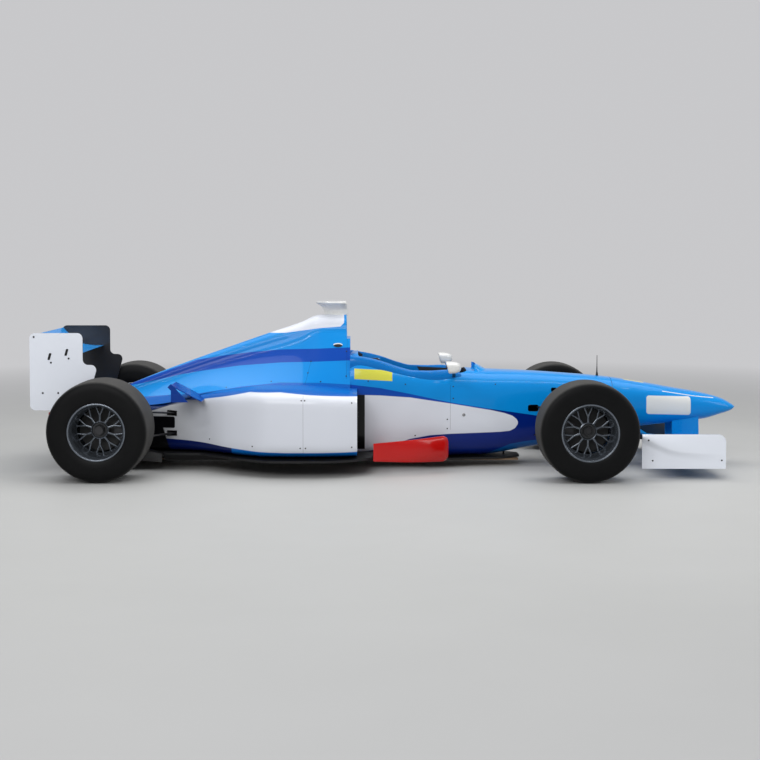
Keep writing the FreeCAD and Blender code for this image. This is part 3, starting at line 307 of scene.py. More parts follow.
def row_at(rows, place):
    """The row at a place, mixed from the rows on both sides of it."""
    for near, far in zip(rows, rows[1:]):
        if far[0] <= place <= near[0]:
            share = (near[0] - place) / (near[0] - far[0])
            return [a + (b - a) * share for a, b in zip(near, far)]
    return list(rows[0] if place > rows[0][0] else rows[-1])


def between(rows, front, rear):
    """The rows between two places, with a row worked out at each end."""
    kept = [row for row in rows if rear < row[0] < front]
    return [row_at(rows, front)] + kept + [row_at(rows, rear)]


print("halfway between the rows (2, 1) and (0, 0):", row_at([(2, 1), (0, 0)], 1))

# %% [markdown]
# A ring is one cross-section as a loop of points. Most of the car is a rounded box: a circle whose cosine and
# sine are raised to a power, which pushes the points out towards the corners. Two powers give the section a
# square shoulder and a soft belly, or the other way round.

# %% Rings
def rounded_power(value, squareness):
    return math.copysign(abs(value) ** (2 / squareness), value)


def round_turns(count, start=0.0):
    """Angles that share out one full turn."""
    return [2 * math.pi * (index + start) / count for index in range(count)]


def body_ring(x, half_width, top, bottom, waist, upper, lower, points=72):
    """One cross-section: a rounded box, with its own squareness above and below the waist."""
    ring = []
    for angle in round_turns(points, 0.5):
        above = math.sin(angle) > 0
        squareness = upper if above else lower
        reach = top - waist if above else waist - bottom
        y = half_width * rounded_power(math.cos(angle), squareness)
        ring.append(Vector((x, y, waist + reach * rounded_power(math.sin(angle), squareness))))
    return ring


def disc_ring(x, radius, centre_height, points=48):
    """A round ring across the car."""
    return [Vector((x, radius * math.sin(turn), centre_height + radius * math.cos(turn)))
            for turn in round_turns(points)]


print("points in a body ring:", len(body_ring(0, 1, 1, 0, 0.5, 3, 3)))

# %% [markdown]
# A form is a list of points with a list of faces. Rings set in a row make a skin, several forms join into
# one, and a form drawn on one side of the car is mirrored to the other. A flat outline becomes a prism.

# %% Forms
def skin(rings, capped=True):
    """Points and faces over a row of rings that close on themselves; end caps are optional."""
    count = len(rings[0])
    points = [point for ring in rings for point in ring]
    faces = []
    for row in range(len(rings) - 1):
        for index in range(count):
            after = (index + 1) % count
            faces.append((row * count + index, row * count + after,
                          (row + 1) * count + after, (row + 1) * count + index))
    if capped:
        faces.append(tuple(range(count)))
        faces.append(tuple(range(len(points) - count, len(points))))
    return points, faces


def body_form(rows, points=72):
    """A closed form over rows of cross-sections."""
    return skin([body_ring(*row, points) for row in rows])


def joined(forms):
    """Several forms as the points and faces of one mesh."""
    points = []
    faces = []
    for more_points, more_faces in forms:
        start = len(points)
        points += more_points
        faces += [tuple(index + start for index in face) for face in more_faces]
    return points, faces


def mirrored(form):
    """A form together with its mirror image on the other side of the car."""
    points, faces = form
    return joined([form, ([Vector((point[0], -point[1], point[2])) for point in points], faces)])


def rectangle(left, right, low, high):
    """A four-cornered outline."""
    return [(left, low), (right, low), (right, high), (left, high)]


def slab(outline, low, high, axis=2):
    """A prism over an outline: its two coordinates are the axes other than the given one."""
    rings = []
    for level in (low, high):
        ring = []
        for first, second in outline:
            place = [first, second]
            place.insert(axis, level)
            ring.append(Vector(place))
        rings.append(ring)
    return skin(rings)


print("faces of a box:", len(slab(rectangle(0, 1, 0, 1), 0, 1)[1]))

# %% [markdown]
# Sharp corners look drawn, not made. Any outline can have its corners replaced by arcs, which start and end
# where a circle of the radius touches the two sides. Each corner may have its own radius.

# %% Rounded outlines
def rounded(outline, radii, steps=8):
    """An outline with its corners rounded by arcs, each with its own radius."""
    result = []
    count = len(outline)
    for index, corner in enumerate(outline):
        here = Vector(corner)
        before = Vector(outline[index - 1]) - here
        after = Vector(outline[(index + 1) % count]) - here
        radius = radii[index] if isinstance(radii, (list, tuple)) else radii
        if radius <= 0:
            result.append(tuple(here))
            continue
        half = before.angle(after) / 2
        start = here + before.normalized() * radius / math.tan(half)
        end = here + after.normalized() * radius / math.tan(half)
        centre = here + (before.normalized() + after.normalized()).normalized() * radius / math.sin(half)
        first = start - centre
        last = end - centre
        sweep = first.angle_signed(last)
        for step in range(steps + 1):
            turned = first.copy()
            turned.rotate(Matrix.Rotation(-sweep * step / steps, 2))
            result.append(tuple(centre + turned))
    return result


print("points of a rounded square:", len(rounded(rectangle(0, 1, 0, 1), 0.1)))

# %% [markdown]
# Every piece is made the same way: its mesh is filled from points and faces, its normals are made to point
# outwards, and it is smoothed but kept sharp at real edges. Then it is told which body carries it.

# %% Making pieces
pieces = {}


def soften(made, sharp=35):
    """Smooth shading, with edges over an angle in degrees kept sharp."""
    made.data.shade_smooth()
    made.data.set_sharp_from_angle(angle=math.radians(sharp))


def mesh_object(name, points, faces, finish):
    """A new object from points and faces, with its normals pointing outwards."""
    mesh = bpy.data.meshes.new(name)
    mesh.materials.append(finish.material)
    mesh.from_pydata([tuple(point) for point in points], [], faces)
    form = bmesh.new()
    form.from_mesh(mesh)
    bmesh.ops.recalc_face_normals(form, faces=form.faces)
    form.to_mesh(mesh)
    form.free()
    made = bpy.data.objects.new(name, mesh)
    bpy.context.collection.objects.link(made)
    return made


def piece(name, points, faces, finish, body="chassis", slot="body_paint", sharp=35, place=(0, 0, 0)):
    """A smooth mesh piece with one finish, riding on a body."""
    made = mesh_object(name, points, faces, finish)
    soften(made, sharp)
    made.location = place
    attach(made, body)
    pieces[name] = made
    return made


print("ready to make pieces")

# %% [markdown]
# Openings and hollows are cut, not drawn: a closed helper form takes its shape out of a piece, and the
# faces of the cut keep the helper's finish. Where a small part has to lie on a panel, a ray from the side
# of the car finds the panel's surface there.

# %% Cutting and finding a surface
inner_black = plain("inner_black", (0.010, 0.010, 0.011, 1), 0.55)


def cutter(points, faces, finish=inner_black):
    """A closed helper form for carve; the cut faces take its finish, black inside the car."""
    return mesh_object("cutter", points, faces, finish)


def apply_modifiers(made):
    """Turns what the modifiers show into the mesh itself."""
    graph = bpy.context.evaluated_depsgraph_get()
    mesh = bpy.data.meshes.new_from_object(made.evaluated_get(graph))
    made.modifiers.clear()
    made.data = mesh


def carve(made, cutters):
    """Cuts the helper forms out of a piece and removes them."""
    for helper in cutters:
        modifier = made.modifiers.new("cut", "BOOLEAN")
        modifier.operation = "DIFFERENCE"
        modifier.solver = "EXACT"
        modifier.object = helper
        modifier.material_mode = "TRANSFER"
    apply_modifiers(made)
    for helper in cutters:
        bpy.data.objects.remove(helper)


def side_hit(made, x, z, side, far=2.0):
    """Where a ray from the side meets a piece: the place and the direction of the surface there."""
    tree = BVHTree.FromObject(made, bpy.context.evaluated_depsgraph_get())
    place, normal, _, _ = tree.ray_cast(Vector((x, side * far, z)), Vector((0, -side, 0)))
    return place, normal


print("cutting ready")

# %% [markdown]
# The livery is paint under clear lacquer: light blue above, a dark blue stripe, white sides and navy below.
# It could be an image wrapped round the car, but a procedural one stays sharp at any distance. Each colour
# border is a line drawn along the car, a height for every place, which a colour ramp holds and the shader
# compares with the height of the point it is painting.

# %% Livery colours
light_blue = (0.001, 0.235, 0.640, 1)
stripe_blue = (0.000, 0.056, 0.370, 1)
shoulder_blue = (0.001, 0.105, 0.430, 1)
navy = (0.000, 0.014, 0.170, 1)
tail_navy = (0.000, 0.007, 0.080, 1)
keel_blue = (0.000, 0.090, 0.330, 1)
rim_blue = (0.000, 0.150, 0.480, 1)
plate_bright = (0.790, 0.820, 0.890, 1)
paper_white = (0.660, 0.680, 0.740, 1)
warm_white = (0.720, 0.720, 0.700, 1)
yellow = (0.620, 0.600, 0.070, 1)
pale_yellow = (0.56, 0.54, 0.24, 1)
foot_blue = (0.000, 0.125, 0.480, 1)
shaded_white = (0.20, 0.20, 0.185, 1)
black = (0.003, 0.003, 0.004, 1)
gloss = {"Coat_Weight": 0.26, "Coat_Roughness": 0.04, "Specular_IOR_Level": 0.12}
print("light blue of the livery:", light_blue[:3])

# %% [markdown]
# Three helpers do the drawing. A border runs along the car, a plate is a rectangle with round corners, and
# the lacquer adds what every painted panel shares, a faint unevenness and some dust low down. The clear coat
# over it is a constant of each finish, which gloss holds.

# %% Borders, plates and lacquer
def border(finish, points):
    """A line along the car as a socket: the height that belongs to the painted point's place."""
    start, end = points[0][0], points[-1][0]
    low = min(height for _, height in points)
    high = max(height for _, height in points)
    stops = [((place - start) / (end - start), (height - low) / (high - low)) for place, height in points]
    along = (finish.x - start) / (end - start)
    grey = along.node("ShaderNodeValToRGB", {"stops": stops}, {0: along})
    return grey * (high - low) + low


def lacquer(finish, colour):
    """What all painted panels share: a faint unevenness of the paint and dust low down."""
    fine = finish.noise(180.0, 2.0)
    dust = finish.noise(3.0, 6.0, 0.6)
    low_down = 1 - rise(finish.z, 0.16, 0.12)
    dusty = (dust * low_down * 0.02).mix(colour, (0.30, 0.28, 0.25, 1))
    finish.feed("Base Color", dusty)
    finish.feed("Roughness", dust * 0.12 + 0.24)
    finish.bump(fine, 0.03, 0.001)


def rounded_patch(across, up, half_length, half_height, corner):
    """A mask for a plate with rounded corners, from the two distances to its middle."""
    wide = (abs(across) - (half_length - corner)).either(0.0)
    tall = (abs(up) - (half_height - corner)).either(0.0)
    return 1 - rise((wide * wide + tall * tall).root(), corner)


print("paint helpers ready")

# %% [markdown]
# The tub is navy over a brighter keel, with a white side that ends in a point, a stripe above it and light
# blue over all. The borders between the colours come first, as a few points along the car, so that a line
# of the livery can be moved without touching the formulas that paint it.

# %% Borders on the tub
light_line = (
    (-0.60, 0.572), (-0.273, 0.565), (-0.073, 0.542), (0.127, 0.502), (0.395, 0.443),
    (0.665, 0.397), (0.971, 0.349), (1.20, 0.318), (1.50, 0.10), (2.36, 0.05),
)
white_top_line = (
    (-0.60, 0.500), (-0.226, 0.497), (-0.073, 0.493), (0.127, 0.479), (0.395, 0.437),
    (0.665, 0.390), (0.760, 0.368), (0.814, 0.349), (0.845, 0.325), (0.858, 0.298), (0.859, 0.0),
)
white_foot_line = (
    (-0.60, 0.106), (-0.239, 0.106), (-0.119, 0.122), (0.127, 0.201), (0.261, 0.224),
    (0.395, 0.232), (0.733, 0.240), (0.800, 0.246), (0.835, 0.264), (0.858, 0.298), (0.859, 1.0),
)
keel_line = (
    (0.40, 0.0), (0.550, 0.030), (0.675, 0.093), (0.807, 0.152), (0.909, 0.168), (0.991, 0.177),
    (1.20, 0.190), (1.50, 0.60),
)
rim_top_line = (
    (-0.24, 0.752), (-0.071, 0.728), (0.063, 0.676), (0.150, 0.655), (0.366, 0.660), (0.46, 0.640),
)
rim_foot_line = (
    (-0.24, 0.716), (-0.071, 0.695), (0.063, 0.642), (0.150, 0.617), (0.366, 0.628), (0.46, 0.636),
)
pin_line = ((1.84, 0.5050), (2.047, 0.4724), (2.20, 0.4553))
print("points of the longest border:", len(white_top_line))

# %% [markdown]
# The colours are then laid over each other from the bottom up, as a painter would mask and spray them. Plain
# plates in yellow and white go over them. The pockets of the suspension and the part of the side that lies
# inside the sidepod's inlet are painted black as painted shade, so that they look deep.

# %% Paint of the nose and tub
def between_borders(finish, foot, top):
    """A mask for what lies above one border and below another."""
    return rise(finish.z, foot) * (1 - rise(finish.z, top))


def side_colours(finish):
    """Keel, navy, white side, stripe and light blue."""
    white_top = border(finish, white_top_line)
    white = between_borders(finish, border(finish, white_foot_line), white_top)
    stripe = band(finish.z - white_top, 0, 0.10) * (1 - rise(finish.x, 0.66))
    colour = rise(finish.z, border(finish, keel_line)).mix(keel_blue, navy)
    colour = white.mix(colour, paper_white)
    colour = stripe.mix(colour, stripe_blue)
    return rise(finish.z, border(finish, light_line)).mix(colour, finish.wear(light_blue, 0.05, 4.0))


def plain_plates(finish, side, colour):
    """Plain plates beside the cockpit, on the nose's side and on its top."""
    cockpit_plate = band(finish.x, -0.246, 0.007) * band(finish.z - finish.x * -0.055, 0.588, 0.657) * side
    leaning = finish.z + finish.x * 0.033
    nose_plate = rounded_patch(finish.x - 1.8795, leaning - 0.4730, 0.1525, 0.0625, 0.018) * side
    top_plate = rounded_patch(finish.x - 1.665, finish.y, 0.068, 0.045, 0.012) * rise(finish.z, 0.45)
    colour = cockpit_plate.mix(colour, yellow)
    colour = nose_plate.mix(colour, warm_white)
    return top_plate.mix(colour, pale_yellow)


def thin_lines(finish, side, colour):
    """The white pin line on the nose and the brighter edge of the cockpit."""
    pin = band(finish.z - border(finish, pin_line), -0.0020, 0.0020) * band(finish.x, 1.84, 2.20) * side
    rim = between_borders(finish, border(finish, rim_foot_line), border(finish, rim_top_line))
    colour = pin.mix(colour, warm_white)
    return (rim * band(finish.x, -0.24, 0.44)).mix(colour, rim_blue)


def hull_paint():
    finish = Finish("hull_paint", **gloss)
    side = rise(abs(finish.y), 0.07)
    colour = thin_lines(finish, side, plain_plates(finish, side, side_colours(finish)))
    # Painted shade: black inside the sidepod's inlet and round the pockets of the legs; the seam is a real
    # joint.
    duct = band(finish.x, -0.32, -0.176) * band(finish.z, 0.13, 0.497) * side
    upper_pocket_shade = rounded_patch(finish.x - 0.957, finish.z - 0.3985, 0.036, 0.0225, 0.018)
    rod_pocket_shade = rounded_patch(finish.x - 1.098, finish.z - 0.5195, 0.020, 0.0145, 0.010)
    seam = band(finish.x, 0.3945, 0.3958, 0.0004) * band(finish.z, 0.26, 0.560)
    dark = duct.either(upper_pocket_shade.either(rod_pocket_shade) * side).either(seam)
    lacquer(finish, dark.mix(colour, black))
    return finish


hull_finish = hull_paint()
print("tub paint nodes:", len(hull_finish.tree.nodes))

# %% [markdown]
# The cover is light blue with a darker stripe along its flank and a white cap on the air intake. It meets the
# sidepods in one darker line, which both finishes draw from the same points. The panel seams are thin dark
# lines: real gaps this fine would cost thousands of faces and look the same.

# %% Paint of the engine cover
shoulder_line = (
    (-1.80, 0.45), (-1.629, 0.472), (-1.366, 0.496), (-1.275, 0.506), (-1.006, 0.551), (-0.739, 0.579),
    (-0.472, 0.578), (-0.273, 0.566),
)
stripe_top_line = (
    (-1.783, 0.546), (-1.541, 0.633), (-1.322, 0.712), (-1.162, 0.738), (-0.956, 0.766),
    (-0.749, 0.786), (-0.293, 0.805),
)
stripe_foot_line = (
    (-1.767, 0.538), (-1.642, 0.563), (-1.435, 0.612), (-1.297, 0.637), (-1.021, 0.678),
    (-0.746, 0.702), (-0.286, 0.721),
)
cap_line = ((-0.82, 0.896), (-0.717, 0.897), (-0.478, 0.932), (-0.342, 0.942), (-0.316, 0.966))
seam_half_width = 0.0007


def cover_paint():
    finish = Finish("cover_paint", **gloss)
    stripe = between_borders(finish, border(finish, stripe_foot_line), border(finish, stripe_top_line))
    colour = stripe.mix(finish.wear(light_blue, 0.05, 4.0), stripe_blue)
    colour = rise(finish.z, border(finish, shoulder_line)).mix(shoulder_blue, colour)
    white = rise(finish.z, border(finish, cap_line)) * band(finish.x, -0.825, -0.316)
    colour = white.mix(colour, paper_white)
    slant = finish.x - (finish.z * 0.2463 - 0.7128)
    seam = band(slant, -seam_half_width, seam_half_width, 0.0004) * (1 - rise(finish.z, 0.722))
    front_seam = band(finish.x - finish.z * 0.02, -0.3115, -0.3103, 0.0004) * band(finish.z, 0.60, 0.863)
    lacquer(finish, (seam.either(front_seam) * 0.8).mix(colour, black))
    return finish


cover_finish = cover_paint()
print("cover paint nodes:", len(cover_finish.tree.nodes))

# %% [markdown]
# The sidepod is white between its darker shoulder and a blue band along its foot. Ahead of the rear wheel the
# white darkens into painted shade, a navy band of painted shade runs along its top, and it ends in black
# painted shade round the slots where the suspension legs pass.

# %% Paint of the sidepods
pod_top_line = (
    (-1.70, 0.360), (-1.608, 0.390), (-1.476, 0.432), (-1.358, 0.463), (-1.266, 0.471),
    (-1.123, 0.498), (-0.920, 0.542), (-0.720, 0.547), (-0.526, 0.531), (-0.303, 0.520),
    (-0.226, 0.517),
)
pod_foot_line = (
    (-1.70, 0.210), (-1.608, 0.207), (-1.330, 0.195), (-1.120, 0.178), (-0.910, 0.168),
    (-0.700, 0.163), (-0.226, 0.163),
)
tail_foot_line = ((-1.70, 0.352), (-1.608, 0.383), (-1.476, 0.425), (-1.266, 0.470))


def pod_paint():
    finish = Finish("pod_paint", **gloss)
    foot = border(finish, pod_foot_line)
    shoulder = border(finish, shoulder_line)
    foot_band = rise(finish.x, -1.043, 0.003).mix(tail_navy, foot_blue)
    colour = rise(finish.z, foot).mix(foot_band, shoulder_blue)
    # The white darkens towards the rear as painted shade, where the pod turns in.
    shade = (1 - rise(finish.x, -1.28, 0.20)) * 0.62
    white = between_borders(finish, foot, border(finish, pod_top_line))
    colour = white.mix(colour, shade.mix(paper_white, shaded_white))
    # A navy band of painted shade along the top of the white at the rear.
    shaded_tail_band = between_borders(finish, border(finish, tail_foot_line), shoulder)
    colour = (shaded_tail_band * (1 - rise(finish.x, -1.40, 0.10)) * 0.85).mix(colour, tail_navy)
    # Black painted shade round the slots of the legs and under the tail.
    leg_gap_shade = rounded_patch(finish.x + 1.62, finish.z - 0.312, 0.178, 0.038, 0.012)
    tail_shade = (1 - rise(finish.x + finish.z * 0.3, -1.44, 0.004)) * (1 - rise(finish.z, 0.346))
    colour = leg_gap_shade.either(tail_shade).mix(colour, black)
    colour = rise(finish.z, shoulder).mix(colour, light_blue)
    seam = band(finish.x, -0.5725, -0.5711, 0.0004) * band(finish.z, 0.16, 0.53)
    lacquer(finish, (seam * 0.8).mix(colour, black))
    return finish


pod_finish = pod_paint()
print("sidepod paint nodes:", len(pod_finish.tree.nodes))

# %% [markdown]
# Nose and tub are one moulding to the eye, split only at the nose joint, so one list of rows runs from the
# tip back to the engine. Each row gives a place, a half width, a top, a foot and a waist, as shares, and the
# squareness above and below the waist. The inside is the same list, one wall further in.

# %% Rows of the hull
nose_shares = (
    (1.000, 0.13, 0.612, 0.588, 0.600, 2.0, 2.0),
    (0.982, 0.22, 0.634, 0.562, 0.598, 2.1, 2.1),
    (0.923, 0.33, 0.688, 0.528, 0.598, 2.4, 2.4),
    (0.801, 0.42, 0.746, 0.469, 0.600, 2.6, 2.6),
    (0.618, 0.50, 0.802, 0.435, 0.615, 2.7, 2.8),
    (0.436, 0.55, 0.858, 0.400, 0.630, 2.8, 2.8),
    (0.200, 0.59, 0.918, 0.331, 0.640, 3.0, 2.8),
)
tub_shares = (
    (0.019, 0.63, 0.954, 0.238, 0.640, 3.2, 2.6),
    (0.097, 0.70, 0.977, 0.172, 0.600, 3.4, 2.6),
    (0.197, 0.83, 0.995, 0.100, 0.560, 3.8, 2.8),
    (0.281, 0.92, 1.020, 0.096, 0.540, 4.2, 3.2),
    (0.350, 0.98, 1.045, 0.096, 0.540, 4.6, 3.6),
    (0.422, 1.00, 1.110, 0.096, 0.540, 5.0, 4.0),
    (0.472, 1.00, 1.180, 0.096, 0.540, 4.6, 4.0),
    (0.510, 0.99, 1.100, 0.096, 0.540, 4.0, 4.0),
    (0.590, 0.96, 1.000, 0.096, 0.540, 3.6, 4.0),
)
nose_joint = ahead(0.24)
joint_gap = 0.0015
tub_wall = 0.030
cavity_front = front_axle + 0.180
cavity_rear = behind(0.470)
opening_front = behind(0.232)
opening_width_shares = (0.60, 0.80, 0.80)


def hull_rows(inset=0.0):
    """The shares of nose and tub in metres, drawn in by an inset."""
    rows = [(ahead(row[0]),) + row[1:] for row in nose_shares]
    rows += [(behind(row[0]),) + row[1:] for row in tub_shares]
    return [(row[0], row[1] * tub_half_width - inset, row[2] * scuttle_height - inset,
             row[3] * scuttle_height + inset, row[4] * scuttle_height, row[5], row[6]) for row in rows]


def on_hull(x, y):
    """The height of the top of the hull at a place."""
    row = row_at(hull, x)
    share = min(abs(y) / row[1], 1.0)
    return row[4] + (row[2] - row[4]) * (1 - share ** row[5]) ** (1 / row[5])


hull = smoothed(hull_rows(), 10)
print("rows of the hull:", len(hull))

# %% [markdown]
# The skins are closed forms first. A modifier could give them a wall, but cutting a second form out of the
# first puts wall and edges exactly where they belong. The shoulders are cut away under the engine cover, and
# each suspension leg passes into a rounded pocket.

# %% Nose and tub
cover_front = -0.2745
cover_foot = 0.555
pocket_corner = 0.012
leg_pockets = ((0.921, 0.993, 0.376, 0.421), (1.078, 1.118, 0.505, 0.534))
opening_corner = 0.06

nose = piece("nose_skin", *body_form(between(hull, hull[0][0], nose_joint + joint_gap)), hull_finish)
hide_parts("nose_cone")
tub = piece("tub_skin", *body_form(between(hull, nose_joint - joint_gap, hull[-1][0])), hull_finish)
inside = smoothed(hull_rows(tub_wall), 6)
cavity = cutter(*body_form(between(inside, cavity_front, cavity_rear)))
opening_middle = (opening_front + cavity_rear) / 2
front_half, middle_half, rear_half = (share * tub_half_width for share in opening_width_shares)
plan = rounded([(opening_front, -front_half), (opening_front, front_half), (opening_middle, middle_half),
                (cavity_rear, rear_half), (cavity_rear, -rear_half), (opening_middle, -middle_half)],
               (opening_corner, opening_corner, 0, opening_corner, opening_corner, 0))
opening = cutter(*slab(plan, 0.75 * scuttle_height, cover_height))
under_cover = cutter(*slab(rectangle(-1.0, cover_front, cover_foot, 1.0), -0.5, 0.5, axis=1), hull_finish)
pockets = []
for side in (1, -1):
    for pocket in leg_pockets:
        outline = rounded(rectangle(*pocket), pocket_corner)
        pockets.append(cutter(*slab(outline, side * tub_half_width * 0.5, side * tub_half_width * 2, axis=1)))
carve(tub, [cavity, opening, under_cover] + pockets)
soften(tub)
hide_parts("monocoque")
print("tub faces:", len(tub.data.polygons))

# %% [markdown]
# The engine cover rises behind the driver's head round the air intake and runs out into a thin spine. Its
# section is a round back that flares down to the sidepods, which a rounded box can't follow, so it has a
# ring of its own. Cutting a slightly smaller cover out of it leaves the shell, and a bore makes the intake.

# %% Engine cover
cover_shares = (
    (0.487, 1.000, 1.00, 1.06, 0.960, 0.8),
    (0.520, 1.001, 0.97, 1.07, 0.965, 0.9),
    (0.555, 0.997, 0.90, 1.08, 0.975, 1.0),
    (0.600, 0.943, 0.78, 1.09, 0.990, 1.3),
    (0.666, 0.877, 0.62, 1.08, 0.985, 1.6),
    (0.777, 0.760, 0.50, 1.00, 0.930, 1.8),
    (0.889, 0.638, 0.42, 0.87, 0.780, 1.8),
    (0.978, 0.532, 0.36, 0.60, 0.720, 1.8),
)
cover_spine = 0.105
body_wall = 0.009
intake_radius = 0.068
spine_turns = 9
flank_steps = 14
mouth_face = -0.296
mouth_foot = 0.863
mouth_lean = 0.006


def cover_ring(x, top, spine, foot_width, foot, power):
    """One cross-section of the cover: a round spine that flares out to its feet."""
    half = []
    for step in range(1, spine_turns + 1):
        turn = math.pi / 2 * step / spine_turns
        half.append((spine * math.sin(turn), top - spine * (1 - math.cos(turn))))
    for step in range(1, flank_steps + 1):
        share = step / flank_steps
        half.append((spine + (foot_width - spine) * share**power, top - spine - (top - spine - foot) * share))
    ring = [Vector((x, -y, z)) for y, z in reversed(half)]
    ring.append(Vector((x, 0, top)))
    return ring + [Vector((x, y, z)) for y, z in half]


def cover_rows(inset=0.0):
    """The shares of the cover in metres, drawn in by an inset."""
    rows = []
    for place, top, spine, foot_width, foot, power in cover_shares:
        rows.append((behind(place), top * cover_height - inset, spine * cover_spine - inset,
                     foot_width * tub_half_width - inset, foot * sidepod_height - 2 * inset, power))
    return rows


def cover_form(rows):
    return skin([cover_ring(*row) for row in rows])


outer_rows = smoothed(cover_rows(), 8)
inner_rows = between(smoothed(cover_rows(body_wall), 6), behind(0.52), behind(0.978) - 0.02)
cover = piece("engine_cover_skin", *cover_form(outer_rows), cover_finish)
hollow = cutter(*cover_form(inner_rows))
intake_height = cover_height - body_wall - intake_radius
bore_rings = [disc_ring(behind(0.487) + reach, intake_radius, intake_height) for reach in (0.02, -0.185)]
bore = cutter(*skin(bore_rings))
step_outline = [(mouth_face, mouth_foot), (-0.20, mouth_foot), (-0.20, 1.10), (mouth_face - mouth_lean, 1.10)]
step_cut = cutter(*slab(step_outline, -0.5, 0.5, axis=1), cover_finish)
carve(cover, [hollow, bore, step_cut])
soften(cover)
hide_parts("engine_cover")
print("cover faces:", len(cover.data.polygons))

# %% [markdown]
# The sidepods are thin-walled boxes with rounded edges, wide at the radiators and pinched in towards the
# gearbox like the neck of a bottle. They are open in front, where the air goes in. The whole box is skinned
# and the room of its neighbours is cut out of it, which fits its edges to the tub and the cover.

# %% Sidepods
sidepod_shares = (
    (0.468, 0.900, 0.960),
    (0.505, 0.960, 0.975),
    (0.560, 1.000, 1.000),
    (0.610, 1.000, 1.010),
    (0.655, 0.985, 1.010),
    (0.727, 0.800, 0.975),
    (0.808, 0.500, 0.900),
    (0.888, 0.380, 0.790),
    (0.935, 0.345, 0.765),
)
pod_bottom = 0.114
pod_end = behind(0.935) + 0.001
inlet_place = behind(0.472)
bay_half_width = 0.240
tail_half_width = 0.170
engine_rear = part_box("engine_block")[0].x - 0.020
pod_roof_front = behind(0.893)
pod_roof_rear = rear_axle - 0.330
pod_squareness = 7.0
roof_rear_height = 0.234
roof_front_height = 0.109
rear_axle_height = 0.321
rear_leg_rise = 0.1053
rear_leg_eye = 0.600
rear_leg_root = (0.570, 0.130)
rear_leg_root_heights = (0.350, 0.250)


def pod_rows(inset=0.0):
    """The shares of the sidepod in metres, drawn in by an inset."""
    rows = []
    for place, width, height in sidepod_shares:
        top = height * sidepod_height - inset
        waist = pod_bottom + 0.5 * (top - pod_bottom)
        half_width = width * body_half_width - inset
        bottom = pod_bottom + inset
        rows.append((behind(place), half_width, top, bottom, waist, pod_squareness, pod_squareness))
    return rows


def leg_slot(start, end, chord=0.058, height=0.036):
    """A flat bar round a suspension leg, for the slot it passes through."""
    along = (end - start).normalized()
    across = along.cross(Vector((0, 0, 1))).normalized() * chord / 2
    up = across.cross(along).normalized() * height / 2
    corners = (across + up, across - up, -across - up, -across + up)
    return cutter(*skin([[point + corner for corner in corners] for point in (start, end)]))


def pod_form(inset=0.0, past=0.0):
    """The sidepod as a closed box, one wall smaller and a little longer for the hollow inside it."""
    rows = between(smoothed(pod_rows(inset), 10), inlet_place, pod_end)
    rows[0][0] += past
    rows[-1][0] -= past
    return body_form(rows, 96)


def make_pod(side, name):
    """A hollow pod without the room of its neighbours: engine bay, tub, cover and suspension legs."""
    pod = piece(name, *pod_form(), pod_finish)
    duct = cutter(*pod_form(body_wall, 0.02))
    reach = 3.0
    inward = [(-reach, side * tail_half_width), (engine_rear, side * tail_half_width),
              (engine_rear, side * bay_half_width), (reach, side * bay_half_width),
              (reach, -side * reach), (-reach, -side * reach)]
    engine_bay = cutter(*slab(inward, -1, 2))
    tub_room = cutter(*body_form(between(hull, nose_joint, hull[-1][0])))
    cover_room = cutter(*cover_form(outer_rows))
    roof = [(pod_roof_front, -0.1), (pod_roof_rear, -0.1), (pod_roof_rear, roof_rear_height),
            (pod_roof_front, roof_front_height)]
    tail_arch = cutter(*slab(roof, -1, 1, axis=1))
    slots = []
    for height, up in zip(rear_leg_root_heights, (1, -1)):
        eye = Vector((rear_axle, side * rear_leg_eye, rear_axle_height + up * rear_leg_rise))
        root = Vector((rear_axle + rear_leg_root[0], side * rear_leg_root[1], height))
        slots.append(leg_slot(eye, root))
    carve(pod, [duct, engine_bay, tub_room, cover_room, tail_arch] + slots)
    soften(pod)
    return pod


for side, word in ((1, "left"), (-1, "right")):
    pod = make_pod(side, "sidepod_skin_" + word)
    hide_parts("sidepod_" + word)
print("faces of a pod:", len(pod.data.polygons))

# %% [markdown]
# Tyres, rims, hubs and brake plates are all round, so they are turned: a section is drawn once, as places
# across the wheel and distances from its axle, and carried round in steps. A screw modifier could do it, but
# points are easier to mirror and to join with the spokes.

# %% Turned forms
def ring_turned(profile, steps=96, side=1):
    """Points and faces of a closed section turned round the axle of a wheel: (across, radius) pairs."""
    rings = []
    for turn in round_turns(steps):
        rings.append([on_wheel(radius, turn, side * across) for across, radius in profile])
    points, faces = skin(rings + [rings[0]], capped=False)
    whole = len(profile) * steps
    return points[:whole], [tuple(index % whole for index in face) for face in faces]


def on_wheel(radius, turn, across):
    """A place in a wheel, given by its distance from the axle, its turn and its place along the axle."""
    return Vector((radius * math.sin(turn), across, radius * math.cos(turn)))


def radius_of(finish):
    """The distance from the axle, for pieces made round their own axle."""
    return (finish.x * finish.x + finish.z * finish.z).root()


print("points of a turned square:", len(ring_turned([(0, 1), (0, 2), (1, 2), (1, 1)])[0]))

# %% [markdown]
# Rubber is almost black, and only its roughness and wear give it form. The tread that touched the road is a
# little lighter, the sides are darker, and fine moulded rings stand low on the side wall.

